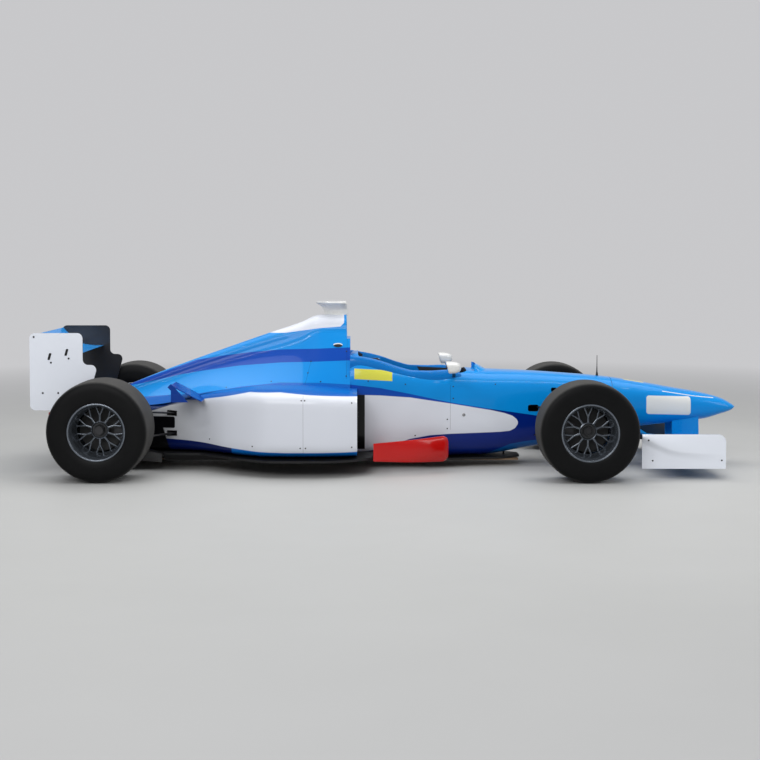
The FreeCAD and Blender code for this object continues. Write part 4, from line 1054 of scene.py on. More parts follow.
# %% Tyre rubber
def slick_rubber(radius, half_width):
    """Matt rubber: a worn tread, darker sides and fine moulded rings low on the side wall."""
    finish = Finish("slick_rubber_%03d" % round(radius * 1000), Specular_IOR_Level=0.12)
    ring = radius_of(finish)
    grain = finish.noise(420.0, 3.0)
    patches = finish.noise(7.0, 5.0, 0.65)
    tread = rise(ring, radius - 0.012, 0.006) * (1 - rise(abs(finish.y), half_width * 0.88, 0.012))
    worn = patches.mix((0.032, 0.031, 0.030, 1), (0.085, 0.083, 0.079, 1))
    side = patches.mix((0.0022, 0.0023, 0.0026, 1), (0.0055, 0.0056, 0.0060, 1))
    finish.feed("Base Color", tread.mix(side, worn))
    finish.feed("Roughness", tread * 0.25 + patches * 0.18 + 0.38)
    lines = band(ring, 0.205, 0.222) * (ring * 1050.0).sine() * 0.6
    finish.bump(grain * 0.35 + lines, 0.25, 0.001)
    return finish


print("tyre rubber ready")

# %% [markdown]
# A racing slick has no tread pattern. Its side bulges out from the bead, turns over a tight shoulder and runs
# almost flat across the tread. Half of the section is enough: a few rows drawn through smooth curves,
# mirrored, and turned round the axle. It is drawn a hair smaller than its solid, so that it stays inside.

# %% Tyres
tyre_rows = (
    (0, 0.900, 0.00), (1, 0.965, 0.05), (2, 1.000, 0.30), (3, 0.995, 0.58), (4, 0.965, 0.80),
    (5, 0.900, 0.92), (6, 0.780, 0.975), (7, 0.450, 0.995), (8, 0.000, 1.000),
)
bead_radius = 0.178


def tyre_profile(radius, half_width):
    """The section of a tyre from bead to bead, over the tread."""
    half = [(across * half_width, bead_radius + share * (radius - bead_radius))
            for _, across, share in smoothed(tyre_rows, 4)]
    return half + [(-across, ring) for across, ring in reversed(half[:-1])]


wheels = {}
for name in ("front_left", "front_right", "rear_left", "rear_right"):
    low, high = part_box("tyre_" + name)
    centre = (low + high) / 2
    wheels[name] = {"centre": centre, "radius": (high.x - low.x) / 2, "half": (high.y - low.y) / 2,
                    "side": 1 if centre.y > 0 else -1, "front": name.startswith("front")}

rubber_share = 0.9995
rubbers = {}
for name, wheel in wheels.items():
    key = round(wheel["radius"], 3)
    radius = wheel["radius"] * rubber_share
    if key not in rubbers:
        rubbers[key] = slick_rubber(radius, wheel["half"])
    tyre = piece("slick_" + name, *ring_turned(tyre_profile(radius, wheel["half"])), rubbers[key],
                 name + "_wheel", "slick_tyre", place=wheel["centre"])
    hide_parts("tyre_" + name)
print("wheel diameters:", {name: round(2 * wheel["radius"], 3) for name, wheel in wheels.items()})

# %% [markdown]
# A cast wheel is lacquered magnesium. Brake dust gathers towards its middle, and the barrel behind the
# spokes is darkened as painted shade, deep inside the wheel. The distance from the axle says where dust
# collects and where the shade goes, so no picture has to be painted.

# %% Metal of the wheels
def wheel_metal(name, colour, roughness):
    """Lacquered magnesium with brake dust towards the middle and painted shade in the deep barrel."""
    finish = Finish(name, Coat_Weight=0.3, Coat_Roughness=0.15)
    ring = radius_of(finish)
    dust = finish.noise(14.0, 3.0) * (1 - rise(ring, 0.120, 0.04))
    # Painted shade: the ring of the barrel behind the spokes is darker.
    barrel = rise(ring, 0.1485, 0.002) * (1 - rise(ring, 0.1745, 0.002)) * 0.5
    colour = barrel.mix(colour, tuple(value * 0.3 for value in colour[:3]) + (1,))
    finish.feed("Base Color", (dust * 0.6).mix(colour, (0.012, 0.011, 0.010, 1)))
    finish.feed("Roughness", finish.noise(12.0, 2.0) * 0.10 + roughness)
    finish.shader.inputs["Metallic"].default_value = 0.7
    finish.bump(finish.noise(30.0, 2.0), 0.02, 0.0006)
    return finish


casting = wheel_metal("wheel_magnesium", (0.150, 0.170, 0.200, 1), 0.20)
hub_metal = wheel_metal("hub_metal", (0.050, 0.052, 0.056, 1), 0.30)
shroud_black = wheel_metal("shroud_black", (0.006, 0.006, 0.007, 1), 0.45)
print("nodes of the wheel metal:", len(casting.tree.nodes))

# %% [markdown]
# The wheel is one magnesium casting: a deep barrel, a thin hub ring and ten spokes that fork on their way
# out. The web could be a disc with holes cut in it, but a rounded bar that divides into two thinner ones
# lets light slide along each spoke as on the real wheel.

# %% Spokes
barrel_radius = 0.1555
web_radius = 0.1455
hub_radius = 0.056
fork_radius = 0.092
spoke_count = 10


def bar(start, end, first, last, depth, sides=10):
    """A rounded bar between two points, with its own width at each end and a depth along the axle."""
    squareness = 2.8
    along = (end - start).normalized()
    across = along.cross(Vector((0, 1, 0))).normalized()
    rings = []
    for point, width in ((start, first), (end, last)):
        ring = []
        for turn in round_turns(sides):
            ring.append(point + across * (width / 2 * rounded_power(math.cos(turn), squareness))
                        + Vector((0, depth / 2 * rounded_power(math.sin(turn), squareness), 0)))
        rings.append(ring)
    return skin(rings)


def spoke_forms(side, web):
    """The hub ring and ten forked spokes, which reach from it out to the barrel."""
    rim_ring = [(web - 0.008, hub_radius - 0.0075), (web + 0.010, hub_radius - 0.0075),
                (web + 0.012, hub_radius - 0.004), (web + 0.010, hub_radius), (web - 0.008, hub_radius)]
    forms = [ring_turned(rim_ring, 60, side)]
    step = 2 * math.pi / spoke_count
    for index in range(spoke_count):
        turn = index * step
        root = on_wheel(hub_radius - 0.006, turn, side * (web + 0.004))
        fork = on_wheel(fork_radius, turn, side * web)
        forms.append(bar(root, fork, 0.0165, 0.0125, 0.014))
        for way in (-1, 1):
            tip = on_wheel(web_radius + 0.004, turn + way * step / 4, side * (web - 0.003))
            forms.append(bar(fork, tip, 0.0110, 0.0100, 0.013))
    return forms


print("forms of the web:", len(spoke_forms(1, 0.1)))

# %% [markdown]
# A rounded lip closes the barrel at each edge, and one nut in the middle holds the wheel. Behind the web
# stands the backing plate of the brake. All of them are turned, the nut in only six steps, which makes it a
# hexagon.

# %% Barrel, hub and brake plate
def barrel_form(side, edge, web):
    """The barrel with a rounded lip at each edge, turned round the axle."""
    half = [(edge - 0.006, 0.1776), (edge - 0.003, 0.1815), (edge, 0.1828), (edge + 0.003, 0.1815),
            (edge + 0.0045, 0.1780), (edge + 0.0035, 0.1735), (edge, 0.1705), (edge - 0.006, 0.1685),
            (edge - 0.012, 0.1640), (edge - 0.030, 0.1575), (web + 0.018, 0.1525), (web + 0.008, 0.1480),
            (web + 0.005, web_radius), (web - 0.007, web_radius), (web - 0.010, 0.1500)]
    rear = [(-across, ring) for across, ring in half[:10]]
    hump = [(web - 0.02, barrel_radius), (-0.072, barrel_radius), (-0.082, 0.1460), (-0.098, 0.1460),
            (-0.108, 0.1575)]
    return ring_turned(half + hump + list(reversed(rear)), side=side)


def hub_forms(side, web):
    """The hub ring, its bolts and the one big nut."""
    ring = [(web - 0.060, 0.026), (web + 0.004, 0.026), (web + 0.006, 0.030), (web + 0.006, 0.045),
            (web - 0.004, hub_radius - 0.006), (web - 0.060, hub_radius - 0.006)]
    nut = [(web + 0.010, 0.0255), (web + 0.028, 0.0255), (web + 0.030, 0.0275), (web + 0.030, 0.0315),
           (web + 0.027, 0.034), (web + 0.010, 0.034)]
    bolt_profile = [(web + 0.004, 0.0005), (web + 0.004, 0.0038), (web + 0.010, 0.0038),
                    (web + 0.010, 0.0005)]
    forms = [ring_turned(ring, 60, side), ring_turned(nut, 6, side)]
    for turn in round_turns(spoke_count, 0.5):
        bolt = ring_turned(bolt_profile, 6, side)
        place = on_wheel(0.0400, turn, 0)
        forms.append(([point + place for point in bolt[0]], bolt[1]))
    return forms


def shroud_form(side):
    """The backing plate of the brake: a thin dished ring between the wishbones and the disc."""
    profile = [(-0.0595, 0.050), (-0.0535, 0.050), (-0.0535, 0.146), (-0.0575, 0.149), (-0.0595, 0.146)]
    return ring_turned(profile, 72, side)


print("faces of a hub:", len(joined(hub_forms(1, 0.1))[1]))

# %% [markdown]
# All four wheels come from the same functions rather than from copies, since the rear ones are wider and
# their webs stand deeper inside. Rim and hub ride the wheel's body. The backing plate of the brake doesn't
# turn, so it rides the upright in front and the chassis behind.

# %% Four wheels
rim_width_share = 0.94
front_recess = 0.107
rear_recess = 0.137

for name, wheel in wheels.items():
    side = wheel["side"]
    edge = rim_width_share * wheel["half"]
    web = edge - (front_recess if wheel["front"] else rear_recess)
    body = name + "_wheel"
    carrier = name + "_upright" if wheel["front"] else "chassis"
    rim = piece("rim_casting_" + name, *joined([barrel_form(side, edge, web)] + spoke_forms(side, web)),
                casting, body, "magnesium", 40, wheel["centre"])
    hub = piece("hub_" + name, *joined(hub_forms(side, web)), hub_metal, body, "magnesium", 30,
                wheel["centre"])
    piece("brake_shroud_" + name, *shroud_form(side), shroud_black, carrier, "upright_metal",
          place=wheel["centre"])
    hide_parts("rim_" + name)
print("wheel faces:", len(rim.data.polygons), len(hub.data.polygons))

# %% [markdown]
# Everything that stays as the frame built it still needs a real surface. Most of it is one of a few
# finishes: woven carbon, bare black composite, painted wing, forged or cast metal. Each starts from the same
# class, and noise varies its colour, its roughness and its height.

# %% Finishes of the frame's own parts
def carbon_weave(name="carbon_weave"):
    """Woven carbon under resin: two sets of fine bands crossing at right angles."""
    finish = Finish(name, Coat_Weight=0.4, Coat_Roughness=0.12)
    pitch = 0.006
    first = (finish.x + finish.z * 0.9) * (1 / pitch)
    second = (finish.y + finish.z * 0.9 + finish.x * 0.15) * (1 / pitch)
    weave = (first * math.pi).sine() * (second * math.pi).sine()
    shade = weave * 0.5 + 0.5
    colour = shade.mix((0.006, 0.006, 0.007, 1), (0.018, 0.018, 0.020, 1))
    finish.feed("Base Color", (finish.noise(5.0, 4.0) * 0.1).mix(colour, (0.06, 0.058, 0.055, 1)))
    finish.feed("Roughness", shade * 0.14 + 0.30)
    finish.bump(shade, 0.12, 0.0004)
    return finish


carbon = carbon_weave()
bare_black = plain("bare_black", (0.008, 0.008, 0.009, 1), 0.50, Specular_IOR_Level=0.3)
disc_carbon = plain("disc_carbon", (0.010, 0.010, 0.010, 1), 0.60, grain=500.0, height=0.3)
forged = plain("forged_metal", (0.045, 0.045, 0.048, 1), 0.48, metallic=0.6)
cast_metal = plain("cast_metal", (0.16, 0.155, 0.15, 1), 0.58, metallic=0.7, grain=400.0, height=0.3)
steel = plain("steel", (0.33, 0.33, 0.34, 1), 0.32, metallic=0.95)
black_rod = plain("black_rod", (0.014, 0.014, 0.016, 1), 0.38, metallic=0.2)
board_red = plain("board_red", (0.48, 0.004, 0.003, 1), 0.24, grain=180.0, height=0.02, spread=0.08,
                  blotch=5.0, Coat_Weight=0.5, Specular_IOR_Level=0.2)
panel_paint = {"roughness": 0.28, "grain": 180.0, "height": 0.04, "spread": 0.06, "blotch": 5.0}
wing_blue = plain("wing_blue", light_blue, **panel_paint, **gloss)
# The winglets are shoulder blue darkened: partly their paint, partly painted shade.
winglet_blue = plain("winglet_blue", (0.000, 0.036, 0.260, 1), **panel_paint, **gloss)
mirror_white = plain("mirror_white", warm_white, **{**panel_paint, "spread": 0.04}, Coat_Weight=0.6)
plank_wood = plain("plank_wood", (0.16, 0.10, 0.055, 1), 0.62, grain=300.0, height=0.4, spread=0.35,
                   blotch=30.0)
lamp_red = plain("lamp_red", (0.45, 0.006, 0.006, 1), 0.18, grain=120.0, height=0.2)
grip_black = plain("grip_black", (0.016, 0.016, 0.017, 1), 0.65, grain=900.0, height=0.5)
shell_black = plain("shell_black", (0.02, 0.02, 0.022, 1), 0.5)
stud_black = plain("stud_black", (0.010, 0.010, 0.011, 1), 0.35, metallic=0.4)
pad_cloth = plain("pad_cloth", (0.012, 0.013, 0.020, 1), 0.85, grain=1400.0, height=0.6)
print("materials so far:", len(bpy.data.materials))

# %% [markdown]
# Two parts need a finish of their own. The endplates of the wings are white on the side that faces away from
# the car and bare black on the other, which one mask on the distance from the middle decides. The deflector
# ahead of the driver is tinted plastic, a little see-through.

# %% Endplates and deflector
rear_plate_face = 0.4985
front_plate_face = 0.6985


def endplate_paint():
    """White outside, bare black inside: the outer face is the one farther from the car's middle."""
    finish = Finish("endplate_paint", Coat_Weight=0.4, Coat_Roughness=0.1)
    front = rise(finish.x, 0.0)
    outer_rear = rise(abs(finish.y), rear_plate_face, 0.0004) * (1 - front)
    outer_front = rise(abs(finish.y), front_plate_face, 0.0004) * front
    white = finish.wear(plate_bright, 0.02, 3.0)
    bare = finish.wear((0.012, 0.012, 0.014, 1), 0.2, 8.0)
    finish.feed("Base Color", outer_rear.either(outer_front).mix(bare, white))
    finish.feed("Roughness", finish.noise(12.0, 4.0) * 0.12 + 0.26)
    finish.bump(finish.noise(150.0), 0.03, 0.001)
    return finish


def screen_blue():
    """The tinted wind deflector."""
    finish = Finish("screen_blue", IOR=1.49, Alpha=0.92)
    finish.feed("Base Color", finish.wear((0.01, 0.33, 0.80, 1), 0.05, 6.0))
    finish.feed("Roughness", finish.noise(20.0) * 0.08 + 0.10)
    return finish


endplates = endplate_paint()
screen = screen_blue()
print("endplate paint nodes:", len(endplates.tree.nodes))

# %% [markdown]
# Now each part of the frame gets its finish, by name. Parts that come in sets, such as brake discs, uprights
# and wishbones, are found by a word in their names. The big skins are left out: the pieces made above stand
# in for them.

# %% Dressing the frame's own parts
finishes = {
    "floor": bare_black, "plank": plank_wood, "diffuser": carbon, "crash_structure": carbon,
    "engine_block": cast_metal, "gearbox": cast_metal, "radiators": cast_metal, "rain_light": lamp_red,
    "front_wing_planes": wing_blue, "front_wing_pylons": wing_blue, "rear_wing_planes": wing_blue,
    "front_wing_endplates": endplates, "rear_wing_endplates": endplates, "winglets": winglet_blue,
    "bargeboards": board_red, "mirrors": mirror_white, "camera_pod": mirror_white, "windscreen": screen,
    "aerial": black_rod, "seat": shell_black, "headrest": pad_cloth, "steering_wheel": grip_black,
    "steering_rack": forged,
}
finishes_by_word = (("disc", disc_carbon), ("upright", forged), ("driveshaft", forged),
                    ("wishbone", black_rod), ("pushrod", black_rod))
dressed = 0
for name in nodes:
    chosen = [finish for word, finish in finishes_by_word if word in name]
    if name in finishes:
        chosen = [finishes[name]]
    if chosen:
        dress(name, chosen[0])
        dressed += 1
print("parts dressed:", dressed, "of", len(nodes))

# %% [markdown]
# Small mouldings stand on the body. The first is the camera fairing on the air intake: a narrow foot that
# flares to a flat top. Its tail runs out to a point, which outlines seen from above describe best, one for
# each level.

# %% Camera fairing
camera_levels = (
    (0.00, 0.30, 0.97, 0.46),
    (0.40, 0.34, 0.95, 0.54),
    (0.70, 0.64, 0.92, 0.72),
    (0.90, 0.98, 0.88, 1.00),
    (1.00, 0.94, 0.82, 0.97),
)
camera_half_length = 0.112
camera_half_width = 0.094
camera_rise = 0.0885
fairing_foot = 0.012


def plan_outline(rows, steps=8):
    """A closed outline seen from above: smooth rows of (place, half width) and their mirror image."""
    half = smoothed(rows, steps)
    return half + [(x, -y) for x, y in reversed(half)]


def camera_fairing():
    """A narrow foot that flares to a wide flat top with a pointed tail."""
    centre = behind(0.527)
    rings = []
    for up, wide, front_share, back_share in smoothed(camera_levels, 5):
        front = centre + front_share * camera_half_length
        back = centre - back_share * camera_half_length
        length = front - back
        half = wide * camera_half_width
        rows = [(front, 0.30 * half), (front - 0.05 * length, 0.62 * half), (front - 0.30 * length, half),
                (front - 0.60 * length, half * 0.96), (back, 0.05 * half)]
        z = cover_height - fairing_foot + up * (camera_rise + fairing_foot)
        rings.append([Vector((x, y, z)) for x, y in plan_outline(rows, 5)])
    return skin(rings)


fairing = piece("camera_fairing", *camera_fairing(), mirror_white, slot="mirror_white")
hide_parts("camera_pod")
print("fairing faces:", len(fairing.data.polygons))

# %% [markdown]
# A mirror is a rounded housing on a thin streamlined stalk. A stretched sphere would come close, but a row
# of rounded boxes that shrink towards the front keeps the flat rear face and leans forward at the top. The
# glass is a polished plate, a little smaller than the housing, let into its rear face.

# %% Mirrors
mirror_shares = ((0, 0.94), (0.10, 1.0), (0.50, 0.95), (0.82, 0.74), (0.95, 0.45), (1.0, 0.20))
mirror_place = 0.362
mirror_length = 0.092
mirror_y = 0.420
mirror_height = 0.690
mirror_half_width = 0.070
mirror_half_height = 0.039
stalk_foot_y = 0.215
glass_depths = (-0.0012, 0.004)


def mirror_ring(along, size):
    """One section of a housing, leaning forward at the top."""
    reach = size * mirror_half_height
    ring = body_ring(mirror_place + along * mirror_length, size * mirror_half_width, mirror_height + reach,
                     mirror_height - reach, mirror_height, 3.6, 3.6, 48)
    return [point + Vector(((point.z - mirror_height) * -0.25 * (1 - along), mirror_y, 0)) for point in ring]


def stalk_form():
    """A thin streamlined stalk from the housing down to the side of the cockpit."""
    start = Vector((mirror_place + 0.045, mirror_y, mirror_height - 0.02))
    end = Vector((mirror_place + 0.060, stalk_foot_y, on_hull(mirror_place + 0.060, stalk_foot_y) - 0.008))
    rings = []
    for point in (start, end):
        rings.append([point + Vector((0.011 * math.cos(turn), 0, 0.0040 * math.sin(turn)))
                      for turn in round_turns(20)])
    return skin(rings)


housing = skin([mirror_ring(*row) for row in smoothed(mirror_shares, 5)])
housings = piece("mirror_housings", *mirrored(housing), mirror_white, slot="mirror_white")
piece("mirror_stalks", *mirrored(stalk_form()), black_rod, slot="mirror_white")
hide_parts("mirrors")
mirror_glass = plain("mirror_glass", (0.62, 0.65, 0.68, 1), 0.12, metallic=1.0, grain=300.0,
                     height=0.01, spread=0.03)
glass_rings = [[point + Vector((depth, 0, 0)) for point in mirror_ring(0, 0.84)] for depth in glass_depths]
piece("mirror_glass", *mirrored(skin(glass_rings)), mirror_glass, slot="mirror_white")
print("mirror housing faces:", len(housings.data.polygons))

# %% [markdown]
# The wind deflector is half an ellipse round the front of the cockpit that leans back towards its top edge.
# A single sheet would look like paper at its edge, so each level is drawn outside and inside, which gives
# the plastic a real thickness.

# %% Wind deflector
deflector_depths = (0.100, 0.018)
deflector_half_widths = (0.140, 0.124)
deflector_heights = (0.598, 0.686)
deflector_thickness = 0.0035


def deflector_form(turns=40, levels=5):
    """Half an ellipse round the front of the cockpit; its upper half leans back."""
    rings = []
    rear = behind(0.2145)
    for level in range(levels + 1):
        share = level / levels
        low_depth, high_depth = deflector_depths
        depth = low_depth + (high_depth - low_depth) * max(0.0, share - 0.5) / 0.5
        half = deflector_half_widths[0] + (deflector_half_widths[1] - deflector_half_widths[0]) * share
        z = deflector_heights[0] + (deflector_heights[1] - deflector_heights[0]) * share
        ring = []
        for thickness, way in ((0, 1), (deflector_thickness, -1)):
            for index in range(turns + 1):
                turn = way * math.pi * (index / turns - 0.5)
                ring.append(Vector((rear + (depth - thickness) * math.cos(turn),
                                    (half - thickness) * math.sin(turn), z)))
        rings.append(ring)
    return skin(rings)


deflector = piece("wind_deflector", *deflector_form(), screen, slot="screen")
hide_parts("windscreen")
print("deflector faces:", len(deflector.data.polygons))

# %% [markdown]
# The aerial on the nose is a thin rod on a tapered rubber foot. Both are one form, rings of shrinking radius
# along an upright line, so the foot flows into the rod without a seam.

# %% Aerial
aerial_rows = ((0.0, 0.0090), (0.10, 0.0080), (0.22, 0.0045), (0.5, 0.0026), (0.97, 0.0020), (1.0, 0.0012))


def aerial_form():
    """A tapered rubber foot and the thin rod above it."""
    x = ahead(0.17)
    foot = on_hull(x, 0) - 0.004
    tip = 0.741
    rings = []
    for up, radius in aerial_rows:
        rings.append([Vector((x + radius * math.cos(turn), radius * math.sin(turn), foot + up * (tip - foot)))
                      for turn in round_turns(16)])
    return skin(rings)


rod = piece("rod_aerial", *aerial_form(), black_rod, slot="steel_rod")
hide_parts("aerial")
print("aerial faces:", len(rod.data.polygons))

# %% [markdown]
# The red boards ahead of the sidepods are thin moulded shells that swell outwards at the front, which is why
# they catch streaks of light. A flat plate with a bump in its material would stay flat in its reflections.
# So each is a row of upright sections, and a smooth curve bows their outer side.

# %% Bargeboards
barge_shares = ((0.438, 0.82, 0.166, 0.373), (0.360, 0.72, 0.138, 0.397), (0.276, 0.52, 0.111, 0.420))
barge_thickness = 0.008
barge_corner = 0.045
barge_swell = 0.022


def barge_ring(row, steps=14):
    """One upright section: bowed outside, flat inside, shorter where the front corners turn."""
    place, width, foot, head = row
    x = behind(place)
    front = behind(barge_shares[-1][0])
    into = max(0.0, x - (front - barge_corner))
    cut = barge_corner - math.sqrt(max(0.0, barge_corner**2 - into**2))
    low = foot * sidepod_height + cut
    high = head * sidepod_height - cut
    forward = (place - barge_shares[0][0]) / (barge_shares[-1][0] - barge_shares[0][0])
    swell = barge_swell * min(1.0, forward * 1.3) ** 2 * (1 - (into / barge_corner) ** 3 * 0.8)
    ring = []
    for step in range(steps + 1):
        share = step / steps
        bow = swell * math.sin(math.pi * share) ** 0.7 + 0.003 * math.sin(math.pi * share) ** 0.3
        ring.append(Vector((x, width * body_half_width + bow, low + (high - low) * share)))
    inner = width * body_half_width - barge_thickness
    return ring + [Vector((x, inner, high)), Vector((x, inner, low))]


def barge_forms():
    rows = smoothed(barge_shares, 16)
    front = barge_shares[-1][0]
    corner_share = barge_corner / wheelbase
    turns = [front + corner_share * (1 - math.sin(math.pi / 2 * step / 8)) for step in range(9)]
    shares = [row[0] for row in rows if row[0] > front + corner_share] + turns
    board = skin([barge_ring(row_at(rows, share)) for share in shares])
    x = behind(0.42)
    middle = 0.269 * sidepod_height
    bracket = rectangle(x - 0.015, x + 0.015, 0.200, 0.552)
    return joined([board, slab(bracket, middle - 0.003, middle + 0.003)])


boards = piece("red_boards", *mirrored(barge_forms()), board_red, slot="board_red", sharp=50)
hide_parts("bargeboards")
print("boards:", len(boards.data.polygons))

# %% [markdown]
# The front endplates are moulded: above a curved crease the plate swells outwards, and under the crease it
# steps back, most of all at the rear. A fine grid takes its outward place from the distance to the crease,
# so the crease can be moved by its few points.

# %% Front endplates
endplate_rear = 1.5865
endplate_front = 2.1215
endplate_low = 0.066
endplate_high = 0.286
endplate_face = 0.700
endplate_corner = 0.050
endplate_swell = 0.016
crease = ((2.1215, 0.156), (2.05, 0.158), (1.90, 0.165), (1.79, 0.180), (1.68, 0.222), (1.5865, 0.268))
crease_rows = smoothed(crease, 6)
endplate_thickness = 0.006


def endplate_ring(x, steps=32):
    """One upright section: it swells above the crease, steps back under it and is rounded at the front."""
    into = max(0.0, x - (endplate_front - endplate_corner))
    high = endplate_high - endplate_corner + math.sqrt(max(0.0, endplate_corner**2 - into**2))
    line = row_at(crease_rows, x)[1]
    fade = min(1.0, max(0.0, (endplate_front - x) / 0.38))
    ring = []
    for step in range(steps + 1):
        z = endplate_low + (high - endplate_low) * step / steps
        over = max(0.0, (z - line) / max(high - line, 0.01))
        under = min(1.0, max(0.0, (line - z) / 0.040))
        swell = endplate_swell * fade * (1 - over**2) * (1 - under) ** 1.5
        ring.append(Vector((x, endplate_face + swell, z)))
    inner = endplate_face - endplate_thickness
    return ring + [Vector((x, inner, high)), Vector((x, inner, endplate_low))]


def endplate_form():
    turn_start = endplate_front - endplate_corner
    places = [endplate_rear + (turn_start - endplate_rear) * step / 36 for step in range(36)]
    turns = [math.pi / 2 * step / 10 for step in range(11)]
    places += [endplate_front - endplate_corner * (1 - math.sin(turn)) for turn in turns]
    return skin([endplate_ring(x) for x in places])


front_plates = piece("front_endplates", *mirrored(endplate_form()), endplates, slot="wing_white", sharp=50)
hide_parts("front_wing_endplates")
print("front endplates:", len(front_plates.data.polygons))

# %% [markdown]
# The cockpit is where people look first. A raised lip runs round the opening and follows the line of the
# bodywork from the shoulders down to the scuttle. Each section of it leaves the hull's side, rounds over the
# edge and drops into the cockpit, so it hides the edge of the cut.

# %% Cockpit lip
lip_line = ((0.470, 0.634), (0.440, 0.645), (0.366, 0.658), (0.260, 0.654), (0.150, 0.656), (0.063, 0.676),
            (-0.071, 0.721), (-0.160, 0.742), (-0.2735, 0.760))
lip_reach = 0.030
lip_inner_drop = 0.050


def opening_half_width(x):
    """The half width of the cockpit opening, narrower towards the front."""
    share = min(1.0, max(0.0, (opening_front - x) / (opening_front - opening_middle)))
    return front_half + (middle_half - front_half) * share * (2 - share)


def lip_ring(x, crest, side):
    """One section across the lip, drawn from offsets to the opening and shares of its own height."""
    half = opening_half_width(x)
    foot = on_hull(x, half + lip_reach) - 0.006
    crest = max(crest, on_hull(x, half) + 0.003)
    height = crest - foot
    corners = [(half + lip_reach, foot), (half + 0.020, foot + height * 0.72),
               (half + 0.010, foot + height * 0.96), (half + 0.002, crest),
               (half - 0.006, foot + height * 0.94), (half - 0.010, foot),
               (half - 0.008, foot - lip_inner_drop), (half + 0.004, foot - lip_inner_drop)]
    return [Vector((x, side * y, z)) for y, z in corners]


lip_finish = plain("lip_blue", rim_blue, **{**panel_paint, "height": 0.03, "spread": 0.05}, **gloss)
lip_rows = smoothed(lip_line, 8)
piece("cockpit_lips", *joined([skin([lip_ring(x, z, side) for x, z in lip_rows]) for side in (1, -1)]),
      lip_finish, sharp=60)
print("lip rows:", len(lip_rows))

# %% [markdown]
# A dash panel closes the footwell. Its outline has to follow the inside of the tub, so it is a slice of the
# hull's own inner rows, a little larger so that it meets the wall all round. The steering column passes
# through a hole in it.

# %% Dash panel
def turned_across(centre, direction, profile, steps=32):
    """A form turned round any axis: (along, radius) pairs from a centre."""
    turn = direction.to_track_quat("Z", "Y")
    rings = []
    for along, radius in profile:
        rings.append([centre + turn @ Vector((radius * math.cos(angle), radius * math.sin(angle), along))
                      for angle in round_turns(steps)])
    return skin(rings)


column_lean = math.radians(12)
wheel_place = Vector((behind(0.275), 0, 0.560))
column_way = Vector((math.cos(column_lean), 0, -math.sin(column_lean)))
dash_rear = behind(0.225)
dash_depths = (0.0, 0.020)
dash_overlap = 0.004
column_hole_radius = 0.022

dash_rows = []
for depth in dash_depths:
    place = dash_rear + depth
    _, half_width, top, bottom, *shape = row_at(inside, place)
    dash_rows.append((place, half_width + dash_overlap, top + dash_overlap, bottom - dash_overlap, *shape))
dash = piece("dash_panel", *body_form(dash_rows), carbon, slot="carbon")
hole_profile = [(0.0, column_hole_radius), (0.30, column_hole_radius)]
column_hole = cutter(*turned_across(wheel_place + column_way * 0.05, column_way, hole_profile))
carve(dash, [column_hole])
soften(dash)
print("dash faces:", len(dash.data.polygons))

# %% [markdown]
# The steering wheel is a carbon plate with rounded corners and an opening beside each grip. It is drawn flat
# round its own centre and then leaned back with the column, and it rides the body that turns.

# %% Steering wheel plate
wheel_half_width = 0.128
wheel_half_height = 0.073
wheel_corner = 0.045
plate_faces = (0.006, 0.018)
hole_near = 0.056
hole_far = 0.104
hole_half_height = 0.050


def leaned(form):
    """Moves a form drawn round the middle of the steering wheel to its leaning place."""
    points, faces = form
    turn = Matrix.Rotation(column_lean, 3, "Y")
    return [wheel_place + turn @ Vector(point) for point in points], faces


plate_outline = rectangle(-wheel_half_width, wheel_half_width, -wheel_half_height, wheel_half_height)
plate = piece("wheel_plate", *leaned(slab(rounded(plate_outline, wheel_corner, 10), *plate_faces, axis=0)),
              carbon, "steering_wheel", "wheel_grip")
holes = []
for side in (1, -1):
    hole = rectangle(side * hole_near, side * hole_far, -hole_half_height, hole_half_height)
    holes.append(cutter(*leaned(slab(rounded(hole, 0.014, 6), -0.05, 0.05, axis=0))))
carve(plate, holes)
bevel = plate.modifiers.new("edge", "BEVEL")
bevel.width = 0.003
bevel.segments = 3
bevel.limit_method = "ANGLE"
apply_modifiers(plate)
soften(plate, 50)
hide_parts("steering_wheel")
print("wheel plate faces:", len(plate.data.polygons))

# %% [markdown]
# The grips are wrapped in rubber and shaped for the fingers. Sculpting could give the same waves, but they
# are regular, so each grip is a row of ovals whose size follows a cosine and shrinks at both ends.

# %% Grips
grip_centre = 0.117
grip_length = 0.128
grip_bow = 0.010
grip_depth_radius = 0.0125
grip_width_radius = 0.0135


def grip_form(side, steps=22, sides=16):
    """A curved grip with finger waves, thicker than the plate it wraps."""
    rings = []
    for step in range(steps + 1):
        share = step / steps
        up = (share - 0.5) * grip_length
        across = side * (grip_centre - grip_bow * (2 * share - 1) ** 2)
        wave = 1 + 0.07 * math.cos(6 * math.pi * share)
        end = min(1.0, 6 * min(share, 1 - share) + 0.35)
        rings.append([Vector((0.012 + grip_depth_radius * wave * end * math.cos(turn),
                              across + grip_width_radius * wave * end * math.sin(turn), up))
                      for turn in round_turns(sides)])
    return skin(rings)


grips = piece("wheel_grips", *leaned(joined([grip_form(1), grip_form(-1)])), grip_black, "steering_wheel",
              "wheel_grip")
print("grip faces:", len(grips.data.polygons))

# %% [markdown]
# Push buttons and a small blank panel sit on the plate, and the column runs from its back towards the dash.
# Buttons and column are short profiles turned round an axis, as the hole in the dash panel was.

